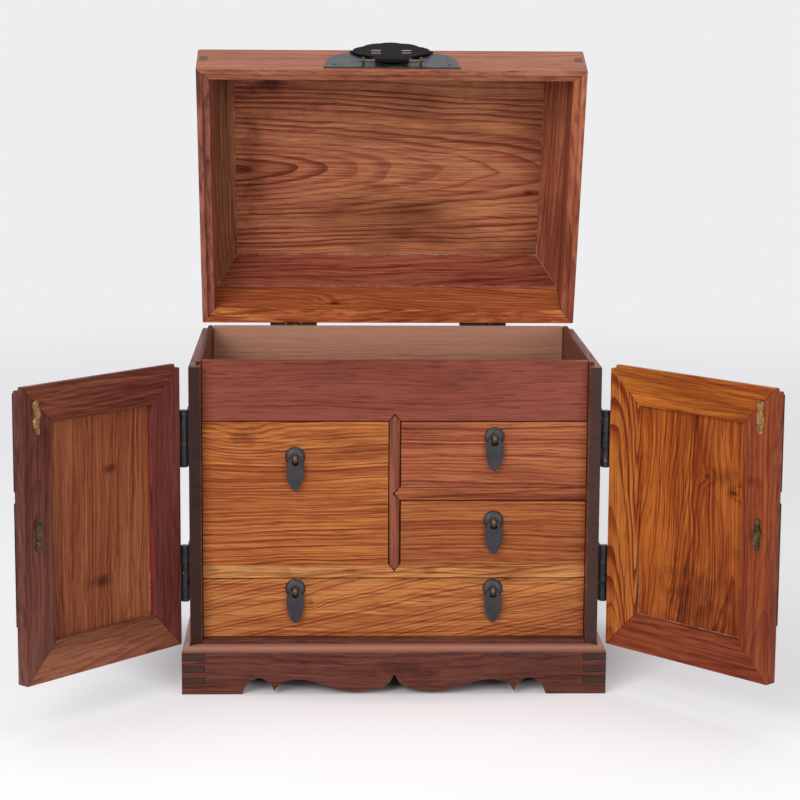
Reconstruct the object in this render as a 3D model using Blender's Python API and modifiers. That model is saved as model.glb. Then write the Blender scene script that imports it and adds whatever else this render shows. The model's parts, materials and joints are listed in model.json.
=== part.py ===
"""A desktop chest: drawers under a tray, two framed doors, a hinged lid, a cusped plinth and iron fittings.

Every board and fitting is its own object. The pieces are modelled shut, in metres, with +Z up, the front
toward -Y and the origin on the ground. The pivots at the end stand the chest open, with its lid and doors
centred over the origin.
"""

import math

import bmesh
import bpy
from mathutils import Matrix, Vector

# Clearances
GAP = 0.0003  # between pieces that meet
PLAY = 0.0007  # between pieces that move past each other

# Case
BODY_WIDTH = 0.358
BODY_DEPTH = 0.250
CASE_SHIFT = 0.0282  # the case stands back, so that the open chest is centred on the origin
SIDE_T = 0.0105
BACK_T = 0.010
BASE_T = 0.008
RECESS = 0.012  # drawer fronts behind the front edges of the sides
TONGUE_RISE = 0.0035  # raised inner half of the rim
TONGUE_SETBACK = 0.009  # the tongue stops short of the front
BOTTOM_BAY = 0.053
SHELF_T = 0.012
LOWER_BAY = 0.0575
RAIL_T = 0.0118
UPPER_BAY = 0.0588
DIVIDER_T = 0.0098
TRAY_RISE = 0.0496  # from the drawers to the rim
TRAY_FRONT_T = 0.009
TRAY_FLOOR_T = 0.008
SPEAR_RISE = 0.0055  # pointed end of a mitred joint
SPEAR_DEPTH = 0.008

# Plinth
PLINTH_HEIGHT = 0.045  # up to the underside of the drawers
PLINTH_OVERHANG = 0.0068  # beyond the sides and the back
PLINTH_TOE = 0.0025  # beyond the shut doors
PLINTH_SEAT_W = 0.013  # rebate that carries the case
LEDGE_DROP = 0.0030  # the ledge under the doors lies below the base board's top
SEAT_DROP = 0.008
MOULD_DROP = 0.0055
MOULD_IN = 0.006
FOOT_LENGTH = 0.0525
ARCH_RISE = 0.0132
CUSP_RISE = 0.0026
LOBE_RISE = 0.002
APEX_RISE = 0.0176
FINGER_BOTTOM = 0.0094
FINGER_HEIGHT = 0.0055
FINGER_PITCH = 0.0106
FINGER_COUNT = 3

# Doors
DOOR_T = 0.011
DOOR_LIFT = 0.0006  # above the plinth's ledge
FRAME_W = 0.0325
GROOVE_DEPTH = 0.005
GROOVE_T = 0.0040
GROOVE_IN = 0.0055  # the panel lies this far behind the inner face
PANEL_RECESS = 0.001  # and nearly flush outside
FRAME_ROUND = 0.0018  # inner arris of the frame
DOOR_OPEN = 131.5  # degrees

# Lid
LID_LIP = 0.0052  # outer part of the rim, which drops round the tongues
LID_WALL_T = 0.012
LID_WALL_RISE = 0.0485
LID_SLOPE_IN = 0.0184
LID_SLOPE_RISE = 0.0314  # the slope climbs this for each LID_SLOPE_IN
LID_SLOPE_FOOT = 0.0548  # inside, where wall and slope meet
LID_INSIDE_RISE = 0.0867
LID_TOP_T = 0.0088
LEDGE_CLEAR = 0.0007  # over the tongues
LID_OPEN = 69.5  # degrees

# Hinges
LEAF_T = 0.0012
PIN_R = 0.0015
DOOR_HINGE_H = 0.050
DOOR_KNUCKLE_R = 0.0035
DOOR_HINGE_TOP = 0.0662  # hinge centre below the door's top
DOOR_HINGE_BOTTOM = 0.0632  # hinge centre above the door's bottom
CASE_LEAF_W = 0.020
LID_HINGE_L = 0.045
LID_HINGE_X = 0.0914
LID_KNUCKLE_R = 0.003
LID_LEAF_W = 0.022
LID_AXIS_RISE = 0.002  # hinge axis above the rim of the case

# Iron plates, staples and hasp
PLATE_T = 0.001
PLATE_HALF_W = 0.0628
LID_PLATE_GAP = 0.004
LID_PLATE_RISE = 0.0375
PLATE_FLARE = 0.002  # the lock plates widen where lid and doors meet
PLATE_FLARE_RISE = 0.004
DOOR_PLATE_DROP = 0.0813
DOOR_PLATE_GAP = 0.0025
LOWER_PLATE_R = 0.0518
LOWER_PLATE_Z = 0.143
STAPLE_X = 0.0142
STAPLE_R = 0.0032
STAPLE_WIRE = 0.0012
LOWER_STAPLE_Z = 0.1715
LEG_UP = 0.0100  # the split pins' legs are bent up and down inside
LEG_DOWN = 0.0180
LEG_HALF_W = 0.0021
HASP_T = 0.0012
HASP_AXIS_RISE = 0.0097  # above the lid's rim
HASP_KNUCKLE_R = 0.0022
HASP_ROD_R = 0.0011
HASP_EYE_X = 0.0263
HASP_EYE_R = 0.0022
HASP_EYE_WIRE = 0.0012
HASP_NECK_HALF = 0.0155
HASP_HALF_W = 0.0388
HASP_MIDDLE = 0.0280  # cloud's middle below the axis
HASP_TIP = 0.0300  # cloud's free end below its middle
HASP_ROOT = 0.0195  # cloud's upper lobes above its middle
HASP_LOBE = 0.06  # depth of the lobes, a share of the cloud
HASP_CLEAR = 0.0018  # between the knuckle and the lock plate, so that the hasp lies over the lid's edge
SLOT_W = 0.0092
SLOT_H = 0.0106
STAPLE_DROP = 0.0280  # staples below the hasp's axis
HASP_OPEN = 185.5  # degrees, laid back on the lid

# Drawers and pulls
DRAWER_FRONT_T = 0.009
DRAWER_WALL = 0.006
DRAWER_FLOOR = 0.005
DRAWER_BACK_GAP = 0.003
ROSETTE_R = 0.0088
ROSETTE_RISE = 0.0036
ROSETTE_EDGE = 0.0006
EYE_R = 0.0031
EYE_WIRE = 0.0012
EYE_DROP = 0.0012  # eye below the rosette's middle
EYE_OUT = 0.0056  # eye's middle in front of the drawer
DROP_T = 0.0014
DROP_HALF_W = 0.0077
DROP_TOP = 0.00135
DROP_LENGTH = 0.0285
DROP_HEAD_HALF = 0.0056  # round the hole
DROP_SHOULDER = 0.0050  # shoulders below the eye
DROP_BROAD = 0.0095  # broadest below the eye
DROP_HOLE_W = 0.0062
DROP_HOLE_H = 0.0085
PULL_X = 0.087
PULL_BELOW = {"left": 0.0315, "right_upper": 0.0138, "right_lower": 0.0176, "bottom": 0.0095}

# Worked-out places
FRONT = CASE_SHIFT - BODY_DEPTH / 2
BACK = CASE_SHIFT + BODY_DEPTH / 2
HALF = BODY_WIDTH / 2
INNER = HALF - SIDE_T
BASE_TOP = PLINTH_HEIGHT + GAP
CASE_FOOT = BASE_TOP - BASE_T
LEDGE_Z = PLINTH_HEIGHT - LEDGE_DROP
SHELF_BOTTOM = BASE_TOP + BOTTOM_BAY
SHELF_TOP = SHELF_BOTTOM + SHELF_T
RAIL_BOTTOM = SHELF_TOP + LOWER_BAY
RAIL_TOP = RAIL_BOTTOM + RAIL_T
BAYS_TOP = RAIL_TOP + UPPER_BAY
RIM = BAYS_TOP + TRAY_RISE
TONGUE_TOP = RIM + TONGUE_RISE
DRAWER_FACE = FRONT + RECESS
INSIDE_BACK = BACK - BACK_T
DOOR_INNER = FRONT - GAP
DOOR_OUTER = DOOR_INNER - DOOR_T
DOOR_BOTTOM = LEDGE_Z + DOOR_LIFT
PLINTH_HALF = HALF + PLINTH_OVERHANG
PLINTH_FRONT = DOOR_OUTER - PLINTH_TOE
PLINTH_BACK = BACK + PLINTH_OVERHANG
PLINTH_BOARD = PLINTH_OVERHANG + PLINTH_SEAT_W
LID_RIM = RIM + GAP
HASP_Z = LID_RIM + HASP_AXIS_RISE
HASP_Y = DOOR_OUTER - GAP - PLATE_T - HASP_CLEAR - HASP_KNUCKLE_R
UPPER_STAPLE_Z = HASP_Z - STAPLE_DROP

for old in list(bpy.data.objects):
    bpy.data.objects.remove(old)
pieces = bpy.data.collections.new("desktop_chest")
cutters = bpy.data.collections.new("desktop_chest_cutters")
bpy.context.scene.collection.children.link(pieces)
bpy.context.scene.collection.children.link(cutters)


def make_material(name, colour, roughness, metallic):
    """A plain finish with one colour."""
    finish = bpy.data.materials.new(name)
    finish.use_nodes = True
    shader = finish.node_tree.nodes["Principled BSDF"]
    shader.inputs["Base Color"].default_value = (*colour, 1)
    shader.inputs["Roughness"].default_value = roughness
    shader.inputs["Metallic"].default_value = metallic
    return finish


HONEY = make_material("honey_hardwood", (0.42, 0.16, 0.05), 0.45, 0)
RED = make_material("red_hardwood", (0.24, 0.07, 0.04), 0.45, 0)
DARK = make_material("dark_hardwood", (0.06, 0.035, 0.03), 0.5, 0)
IRON = make_material("dark_iron", (0.04, 0.045, 0.05), 0.45, 1)


def make_pivot(name, place, parent=None):
    """An empty on the axis of whatever turns or slides with it."""
    pivot = bpy.data.objects.new(name, None)
    pieces.objects.link(pivot)
    pivot.location = place
    bpy.context.view_layer.update()
    if parent:
        pivot.parent = parent
        pivot.matrix_parent_inverse = parent.matrix_world.inverted()
        bpy.context.view_layer.update()
    return pivot


def settle(piece, name, finish, pivot):
    """Name a finished piece, give it its finish and let it ride on its pivot."""
    piece.name = name
    piece.data.name = name
    piece.data.materials.clear()
    piece.data.materials.append(finish)
    piece.parent = pivot
    piece.matrix_parent_inverse = pivot.matrix_world.inverted()
    return piece


def from_bmesh(shape, place=(0, 0, 0)):
    """A new piece from a bmesh, with its faces pointing out."""
    bmesh.ops.recalc_face_normals(shape, faces=shape.faces)
    mesh = bpy.data.meshes.new("piece")
    shape.to_mesh(mesh)
    shape.free()
    piece = bpy.data.objects.new("piece", mesh)
    piece.location = place
    pieces.objects.link(piece)
    return piece


def block(low, high, edge=0):
    """A box between two corners, with its edges eased by edge."""
    low, high = Vector(low), Vector(high)
    shape = bmesh.new()
    bmesh.ops.create_cube(shape, size=1)
    bmesh.ops.scale(shape, vec=high - low, verts=shape.verts)
    piece = from_bmesh(shape, (low + high) / 2)
    if edge:
        ease = piece.modifiers.new("eased_edges", "BEVEL")
        ease.width = edge
        ease.segments = 1
    return piece


def rod(start, end, radius, sides=16):
    """A round rod from one point to another."""
    start, end = Vector(start), Vector(end)
    shape = bmesh.new()
    bmesh.ops.create_cone(
        shape, cap_ends=True, segments=sides, radius1=radius, radius2=radius, depth=(end - start).length
    )
    turn = Vector((0, 0, 1)).rotation_difference(end - start).to_matrix()
    bmesh.ops.rotate(shape, matrix=turn, verts=shape.verts)
    return from_bmesh(shape, (start + end) / 2)


def ring(place, radius, wire):
    """A wire ring round an axis along X."""
    bpy.ops.mesh.primitive_torus_add(
        major_radius=radius,
        minor_radius=wire,
        major_segments=16,
        minor_segments=8,
        rotation=(0, math.pi / 2, 0),
    )
    piece = bpy.context.object
    piece.data.transform(piece.matrix_world.to_3x3().to_4x4())
    piece.rotation_euler = (0, 0, 0)
    piece.location = place
    for home in list(piece.users_collection):
        home.objects.unlink(piece)
    pieces.objects.link(piece)
    return piece


def slab(loops, thickness):
    """A flat outline, with any holes after the first loop, given a thickness along Z."""
    curve = bpy.data.curves.new("outline", "CURVE")
    curve.dimensions = "2D"
    curve.fill_mode = "BOTH"
    curve.extrude = thickness / 2
    for loop in loops:
        spline = curve.splines.new("POLY")
        spline.points.add(len(loop) - 1)
        for point, (x, y) in zip(spline.points, loop):
            point.co = (x, y, 0, 1)
        spline.use_cyclic_u = True
    flat = bpy.data.objects.new("outline", curve)
    pieces.objects.link(flat)
    bpy.context.view_layer.update()
    mesh = bpy.data.meshes.new_from_object(flat.evaluated_get(bpy.context.evaluated_depsgraph_get()))
    bpy.data.objects.remove(flat)
    shape = bmesh.new()
    shape.from_mesh(mesh)
    bmesh.ops.remove_doubles(shape, verts=shape.verts, dist=0.00001)
    return from_bmesh(shape)


def lay(piece, origin, across, up):
    """Turn a slab's own X and Y to the directions across and up, and move its origin."""
    across, up = Vector(across), Vector(up)
    turn = Matrix((across, up, across.cross(up))).transposed().to_4x4()
    piece.data.transform(turn)
    piece.location = origin
    return piece


def mitred(section, length):
    """A moulding of this length whose ends are cut back by each point's X."""
    piece = slab([section], length)
    for vertex in piece.data.vertices:
        back = vertex.co.x + GAP * math.sqrt(0.5)
        vertex.co.z = math.copysign(length / 2 - back, vertex.co.z)
    return piece


def work(piece, tools, operation):
    """Cut tools from a piece, or join them to it. The tools stay as hidden guides."""
    for tool in tools:
        step = piece.modifiers.new(operation.lower(), "BOOLEAN")
        step.operation = operation
        step.solver = "EXACT"
        step.object = tool
        tool.display_type = "WIRE"
        tool.hide_render = True
        pieces.objects.unlink(tool)
        cutters.objects.link(tool)
    return piece


def ride(tools, pivot):
    """Let guides ride on the pivot of the piece they work on."""
    for tool in tools:
        tool.parent = pivot
        tool.matrix_parent_inverse = pivot.matrix_world.inverted()
    return tools


def quarter(half_width, rise, power, steps=10):
    """A rounded corner from (half_width, 0) to (0, rise), squarer as power grows."""
    points = []
    for step in range(steps + 1):
        angle = math.pi / 2 * step / steps
        across = half_width * math.cos(angle) ** (2 / power)
        points.append((across, rise * math.sin(angle) ** (2 / power)))
    return points


# The case: boards between two sides, with tongues that stand up inside the lid's rim.
case = make_pivot("case", (0, 0, 0))
tongue_t = SIDE_T - LID_LIP - PLAY
for side, name in ((-1, "side_left"), (1, "side_right")):
    outline = [
        (HALF, CASE_FOOT),
        (HALF, RIM),
        (INNER + tongue_t, RIM),
        (INNER + tongue_t, TONGUE_TOP),
        (INNER, TONGUE_TOP),
        (INNER, CASE_FOOT),
    ]
    mirrored = [(side * x, z) for x, z in outline]
    piece = lay(slab([mirrored], BODY_DEPTH), (0, CASE_SHIFT, 0), (1, 0, 0), (0, 0, 1))
    notch = block(
        (side * HALF - SIDE_T - 0.001, FRONT - 0.001, RIM),
        (side * HALF + SIDE_T + 0.001, FRONT + TONGUE_SETBACK, TONGUE_TOP + 0.001),
    )
    heel = block(
        (side * HALF - SIDE_T - 0.001, BACK - LID_LIP - PLAY, RIM),
        (side * HALF + SIDE_T + 0.001, BACK + 0.001, TONGUE_TOP + 0.001),
    )
    settle(work(piece, ride([notch, heel], case), "DIFFERENCE"), name, DARK, case)

across = INNER - GAP
back_tongue = BACK_T - LID_LIP - PLAY
back_outline = [
    (INSIDE_BACK, BASE_TOP - BASE_T),
    (BACK, BASE_TOP - BASE_T),
    (BACK, RIM),
    (INSIDE_BACK + back_tongue, RIM),
    (INSIDE_BACK + back_tongue, TONGUE_TOP),
    (INSIDE_BACK, TONGUE_TOP),
]
settle(lay(slab([back_outline], 2 * across), (0, 0, 0), (0, 1, 0), (0, 0, 1)), "back_board", RED, case)

inside = INSIDE_BACK - GAP
settle(block((-across, FRONT, CASE_FOOT), (across, inside, BASE_TOP), 0.0005), "base_board", DARK, case)
tray_back = DRAWER_FACE + TRAY_FRONT_T
tray_floor = block((-across, tray_back + GAP, BAYS_TOP), (across, inside, BAYS_TOP + TRAY_FLOOR_T))
settle(tray_floor, "tray_floor", RED, case)


def spear(width, rise, grow):
    """The outline of a pointed end, grown by grow where it is cut from its neighbour."""
    half = width / 2 + grow
    return [(-half, -0.004), (half, -0.004), (half, 0), (0, rise + 2 * grow), (-half, 0)]


def spear_end(origin, up, width, grow):
    """A pointed end at the front of a board, aimed along up."""
    up = Vector(up)
    sideways = Vector((0, 1, 0)).cross(up)
    depth = SPEAR_DEPTH + grow
    middle = Vector(origin) + Vector((0, depth / 2 - grow, 0))
    return lay(slab([spear(width, SPEAR_RISE, grow)], depth + grow), middle, sideways, up)


top_tip = (0, DRAWER_FACE, BAYS_TOP)
low_tip = (0, DRAWER_FACE, SHELF_TOP)
rail_z = (RAIL_BOTTOM + RAIL_TOP) / 2
rail_tip = (DIVIDER_T / 2, DRAWER_FACE, rail_z)

tray_front = block((-across, DRAWER_FACE, BAYS_TOP), (across, tray_back, TONGUE_TOP))
work(tray_front, ride([spear_end(top_tip, (0, 0, 1), DIVIDER_T, GAP)], case), "DIFFERENCE")
settle(tray_front, "tray_front", RED, case)

shelf = block((-across, DRAWER_FACE, SHELF_BOTTOM), (across, inside, SHELF_TOP))
work(shelf, ride([spear_end(low_tip, (0, 0, -1), DIVIDER_T, GAP)], case), "DIFFERENCE")
settle(shelf, "drawer_shelf", HONEY, case)

divider = block(
    (-DIVIDER_T / 2, DRAWER_FACE, SHELF_TOP + GAP), (DIVIDER_T / 2, inside, BAYS_TOP - GAP)
)
points = [spear_end(top_tip, (0, 0, 1), DIVIDER_T, 0), spear_end(low_tip, (0, 0, -1), DIVIDER_T, 0)]
work(divider, ride(points, case), "UNION")
work(divider, ride([spear_end(rail_tip, (-1, 0, 0), RAIL_T, GAP)], case), "DIFFERENCE")
settle(divider, "drawer_divider", HONEY, case)

rail = block((DIVIDER_T / 2 + GAP, DRAWER_FACE, RAIL_BOTTOM), (across, inside, RAIL_TOP))
work(rail, ride([spear_end(rail_tip, (-1, 0, 0), RAIL_T, 0)], case), "UNION")
settle(rail, "drawer_rail", HONEY, case)


# The plinth: moulded boards, finger-jointed at the corners, with cusped aprons between the feet.
def plinth_section(ledge):
    """A board's section from its outer face: moulded shoulder, ledge, then the seat that carries the case."""
    shoulder = []
    for step in range(6):
        angle = math.pi / 2 * step / 5
        shoulder.append((MOULD_IN * (1 - math.cos(angle)), LEDGE_Z - MOULD_DROP * (1 - math.sin(angle))))
    seat = CASE_FOOT - GAP
    inner = ledge + PLINTH_SEAT_W
    return [(0, 0)] + shoulder + [(ledge - GAP, LEDGE_Z), (ledge - GAP, seat), (inner, seat), (inner, 0)]


def apron(half_length):
    """The lower edge of a plinth board between its feet: arch, cusp, long lobe and middle point."""
    span = half_length - FOOT_LENGTH
    half = []
    for step in range(11):  # small arch from the foot to the cusp
        along = step / 10
        rise = ARCH_RISE * math.sin(math.pi * along) ** 0.6 + CUSP_RISE * along
        half.append((span * (1 - 0.211 * along), rise))
    for step in range(1, 6):  # round rise from the cusp to the second arch
        along = step / 5
        rise = CUSP_RISE + (ARCH_RISE - CUSP_RISE) * math.sqrt(1 - (1 - along) ** 2)
        half.append((span * (0.789 - 0.153 * along), rise))
    for step in range(1, 8):  # long fall to the lobe
        along = step / 7
        fall = (1 + math.cos(math.pi * along)) / 2
        half.append((span * (0.636 - 0.373 * along), LOBE_RISE + (ARCH_RISE - LOBE_RISE) * fall))
    for step in range(1, 9):  # steepening rise to the middle point
        along = step / 8
        rise = LOBE_RISE + (APEX_RISE - LOBE_RISE) * (1 - math.sqrt(1 - along**2))
        half.append((span * 0.263 * (1 - along), rise))
    other = [(-x, z) for x, z in reversed(half[:-1])]
    return half + other


def apron_cutter(middle, along, half_length):
    """What is sawn away under a plinth board."""
    outline = apron(half_length)
    outline = [(outline[0][0], -0.004)] + outline + [(outline[-1][0], -0.004)]
    return lay(slab([outline], 0.1), middle, along, (0, 0, 1))


front_ledge = PLINTH_TOE + DOOR_T + GAP
plinth_depth = PLINTH_BACK - PLINTH_FRONT
plinth_middle = (PLINTH_FRONT + PLINTH_BACK) / 2


def finger_blocks(x_side, y_end, grow):
    """The fingers of a side board at one corner of the plinth, grown by grow where they are cut out."""
    inward = 1 if y_end == PLINTH_FRONT else -1
    blocks = []
    for finger in range(FINGER_COUNT):
        low = FINGER_BOTTOM + finger * FINGER_PITCH
        xs = sorted((x_side * PLINTH_HALF + x_side * 4 * grow, x_side * (PLINTH_HALF - PLINTH_BOARD - grow)))
        ys = sorted((y_end - inward * 4 * grow, y_end + inward * (PLINTH_BOARD + 0.004 * (grow == 0))))
        blocks.append(block((xs[0], ys[0], low - grow), (xs[1], ys[1], low + FINGER_HEIGHT + grow)))
    return blocks


for name, ledge, place, inward, along in (
    ("plinth_front", front_ledge, (0, PLINTH_FRONT, 0), (0, 1, 0), 1),
    ("plinth_back", PLINTH_OVERHANG, (0, PLINTH_BACK, 0), (0, -1, 0), -1),
):
    piece = lay(mitred(plinth_section(ledge), 2 * PLINTH_HALF), place, inward, (0, 0, 1))
    tools = [apron_cutter(place, (along, 0, 0), PLINTH_HALF)]
    for side in (-1, 1):
        tools += finger_blocks(side, place[1], GAP)
    settle(work(piece, ride(tools, case), "DIFFERENCE"), name, RED, case)

for side, name in ((-1, "plinth_left"), (1, "plinth_right")):
    place = (side * PLINTH_HALF, plinth_middle, 0)
    piece = lay(mitred(plinth_section(PLINTH_OVERHANG), plinth_depth), place, (-side, 0, 0), (0, 0, 1))
    work(piece, ride([apron_cutter(place, (0, 1, 0), plinth_depth / 2)], case), "DIFFERENCE")
    fingers = finger_blocks(side, PLINTH_FRONT, 0) + finger_blocks(side, PLINTH_BACK, 0)
    settle(work(piece, ride(fingers, case), "UNION"), name, RED, case)


# Hinges: a leaf on each of two faces in line, knuckles in turn along the barrel, and a pin in the outer two.
def hinge_leaf(length, knuckle_r, width, stand, outer, pivot):
    """One leaf. Its own Z is the axis, +X faces the wood, and +Y runs along the leaf."""
    third = length / 3
    near = stand - GAP - LEAF_T
    root = GAP if outer else 2 * GAP
    leaf = block((near, root, -length / 2), (stand - GAP, width, length / 2))
    clear = knuckle_r + 0.0006
    if outer:
        tools = [
            rod((0, 0, third / 2), (0, 0, length / 2), knuckle_r),
            rod((0, 0, -length / 2), (0, 0, -third / 2), knuckle_r),
            rod((0, 0, -length / 2 + 0.001), (0, 0, length / 2 - 0.001), PIN_R),
        ]
        room = [block((near - 0.001, -0.001, -third / 2 - GAP), (stand + 0.001, clear, third / 2 + GAP))]
        work(leaf, ride(room, pivot), "DIFFERENCE")
        work(leaf, ride(tools, pivot), "UNION")
    else:
        end = third / 2 - GAP
        room = [
            block((near - 0.001, -0.001, end), (stand + 0.001, clear, length / 2 + 0.001)),
            block((near - 0.001, -0.001, -length / 2 - 0.001), (stand + 0.001, clear, -end)),
        ]
        barrel = rod((0, 0, -end), (0, 0, end), knuckle_r)
        bore = rod((0, 0, -length), (0, 0, length), PIN_R + GAP)
        work(leaf, ride(room, pivot), "DIFFERENCE")
        work(leaf, ride([barrel], pivot), "UNION")
        work(leaf, ride([bore], pivot), "DIFFERENCE")
        tools = [barrel, bore]
    return leaf, tools + room


def hang_leaf(parts, place, wood_way, leaf_way, name, pivot):
    """Stand a leaf and its guides on the hinge's axis, facing the wood, and settle it."""
    leaf, tools = parts
    wood_way, leaf_way = Vector(wood_way), Vector(leaf_way)
    turn = Matrix((wood_way, leaf_way, wood_way.cross(leaf_way))).transposed().to_4x4()
    stand = Matrix.Translation(place) @ turn
    for tool in [leaf] + tools:
        spot = Matrix.Translation(tool.location)
        tool.location = (0, 0, 0)
        tool.data.transform(stand @ spot)
    settle(leaf, name, IRON, pivot)


lid_stand = LID_KNUCKLE_R + 0.0007
lid_axis = Vector((0, BACK + lid_stand, RIM + LID_AXIS_RISE))
lid = make_pivot("lid_pivot", lid_axis)
hasp_pivot = make_pivot("hasp_pivot", (0, HASP_Y, HASP_Z), lid)
for side, name in ((-1, "left"), (1, "right")):
    place = lid_axis + Vector((side * LID_HINGE_X, 0, 0))
    leaf = hinge_leaf(LID_HINGE_L, LID_KNUCKLE_R, LID_LEAF_W, lid_stand, True, case)
    hang_leaf(leaf, place, (0, -1, 0), (0, 0, -1), "lid_hinge_case_" + name, case)
    leaf = hinge_leaf(LID_HINGE_L, LID_KNUCKLE_R, LID_LEAF_W, lid_stand, False, lid)
    hang_leaf(leaf, place, (0, -1, 0), (0, 0, 1), "lid_hinge_lid_" + name, lid)


# The lid: four boards with a straight wall and a slope, mitred at the corners, under a flat top.
slope = LID_SLOPE_IN / LID_SLOPE_RISE
ledge_rise = TONGUE_RISE + LEDGE_CLEAR
eaves = LID_INSIDE_RISE - GAP
lid_section = [
    (0, 0),
    (0, LID_WALL_RISE),
    ((eaves - LID_WALL_RISE) * slope, eaves),
    (LID_WALL_T + (eaves - LID_SLOPE_FOOT) * slope, eaves),
    (LID_WALL_T, LID_SLOPE_FOOT),
    (LID_WALL_T, ledge_rise),
    (LID_LIP, ledge_rise),
    (LID_LIP, 0),
]
lid_depth = BACK - DOOR_OUTER
lid_middle = (BACK + DOOR_OUTER) / 2
for name, length, place, inward, wood in (
    ("lid_front", BODY_WIDTH, (0, DOOR_OUTER, LID_RIM), (0, 1, 0), RED),
    ("lid_back", BODY_WIDTH, (0, BACK, LID_RIM), (0, -1, 0), HONEY),
    ("lid_left", lid_depth, (-HALF, lid_middle, LID_RIM), (1, 0, 0), RED),
    ("lid_right", lid_depth, (HALF, lid_middle, LID_RIM), (-1, 0, 0), RED),
):
    settle(lay(mitred(lid_section, length), place, inward, (0, 0, 1)), name, wood, lid)

top_low = (LID_INSIDE_RISE - LID_WALL_RISE) * slope
top_high = (LID_INSIDE_RISE + LID_TOP_T - LID_WALL_RISE) * slope
top = block(
    (-HALF + top_low, DOOR_OUTER + top_low, LID_RIM + LID_INSIDE_RISE),
    (HALF - top_low, BACK - top_low, LID_RIM + LID_INSIDE_RISE + LID_TOP_T),
)
for vertex in top.data.vertices:
    if vertex.co.z > 0:
        vertex.co.x -= math.copysign(top_high - top_low, vertex.co.x)
        vertex.co.y -= math.copysign(top_high - top_low, vertex.co.y)
settle(top, "lid_top", RED, lid)


# Lock plate on the lid, with two eyes that hold the hasp's rod, and the cloud-shaped hasp.
def plate_y(face):
    """The middle of a plate's thickness in front of a face that looks toward -Y."""
    return face - GAP - PLATE_T / 2


def lock_outline(rise, power):
    """Half of a lock plate's edge: a small flare at the parting, then a broad round shoulder."""
    shoulder = quarter(PLATE_HALF_W - PLATE_FLARE, rise, power)[1:]
    return [(PLATE_HALF_W, 0), (PLATE_HALF_W - PLATE_FLARE, PLATE_FLARE_RISE)] + shoulder


arch = lock_outline(LID_PLATE_RISE, 3.4)
outline = arch + [(-x, v) for x, v in reversed(arch[:-1])]
plate = lay(slab([outline], PLATE_T), (0, plate_y(DOOR_OUTER), LID_RIM + LID_PLATE_GAP), (1, 0, 0), (0, 0, 1))
eyes = [ring((side * HASP_EYE_X, HASP_Y, HASP_Z), HASP_EYE_R, HASP_EYE_WIRE) for side in (-1, 1)]
feet = []
for side in (-1, 1):
    eye = Vector((side * HASP_EYE_X, HASP_Y + HASP_EYE_R, HASP_Z))
    feet.append(rod(eye, (eye.x, DOOR_OUTER - GAP - PLATE_T / 2, eye.z), 0.001, 10))
hasp_rod = rod((-HASP_EYE_X - 0.004, HASP_Y, HASP_Z), (HASP_EYE_X + 0.004, HASP_Y, HASP_Z), HASP_ROD_R, 12)
work(plate, ride(feet + eyes + [hasp_rod], lid), "UNION")
settle(plate, "lid_lock_plate", IRON, lid)

cloud = []
for step in range(72):
    angle = 2 * math.pi * step / 72
    swell = 1 - HASP_LOBE + HASP_LOBE * abs(math.cos(6 * angle)) ** 0.7
    reach = HASP_ROOT if math.sin(angle) > 0 else HASP_TIP
    bow = math.copysign(abs(math.sin(angle)) ** 1.6, math.sin(angle))
    cloud.append((HASP_HALF_W * swell * math.cos(angle), reach * swell * bow - HASP_MIDDLE))
loops = [cloud]
for side in (-1, 1):
    x, z = side * STAPLE_X, -STAPLE_DROP
    corners = ((-1, -1), (1, -1), (1, 1), (-1, 1))
    loops.append([(x + dx * SLOT_W / 2, z + dz * SLOT_H / 2) for dx, dz in corners])
hasp = lay(slab(loops, HASP_T), (0, HASP_Y, HASP_Z), (1, 0, 0), (0, 0, 1))
neck = block(
    (-HASP_NECK_HALF, HASP_Y - 0.46 * HASP_T, HASP_Z - HASP_MIDDLE + HASP_ROOT * 0.5),
    (HASP_NECK_HALF, HASP_Y + 0.46 * HASP_T, HASP_Z),
)
knuckle = rod((-HASP_NECK_HALF, HASP_Y, HASP_Z), (HASP_NECK_HALF, HASP_Y, HASP_Z), HASP_KNUCKLE_R)
bore = rod((-PLATE_HALF_W, HASP_Y, HASP_Z), (PLATE_HALF_W, HASP_Y, HASP_Z), HASP_ROD_R + GAP)
work(hasp, ride([neck, knuckle], hasp_pivot), "UNION")
work(hasp, ride([bore], hasp_pivot), "DIFFERENCE")
settle(hasp, "hasp", IRON, hasp_pivot)


# Doors: mitred frames with a floating panel, iron plates with staples, and hinges on the outer edges.
door_stand = DOOR_KNUCKLE_R + 0.0007
door_height = TONGUE_TOP - DOOR_BOTTOM
door_width = HALF - GAP
frame_section = [(0, 0)]
for step in range(4):
    angle = math.pi / 2 * step / 3
    frame_section.append(
        (FRAME_W - FRAME_ROUND * (1 - math.sin(angle)), FRAME_ROUND * (1 - math.cos(angle)))
    )
frame_section += [
    (FRAME_W, GROOVE_IN),
    (FRAME_W - GROOVE_DEPTH, GROOVE_IN),
    (FRAME_W - GROOVE_DEPTH, GROOVE_IN + GROOVE_T),
    (FRAME_W, GROOVE_IN + GROOVE_T),
    (FRAME_W, DOOR_T),
    (0, DOOR_T),
]
door_mid_z = (TONGUE_TOP + DOOR_BOTTOM) / 2
upper_hinge_z = TONGUE_TOP - DOOR_HINGE_TOP
lower_hinge_z = DOOR_BOTTOM + DOOR_HINGE_BOTTOM


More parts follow.
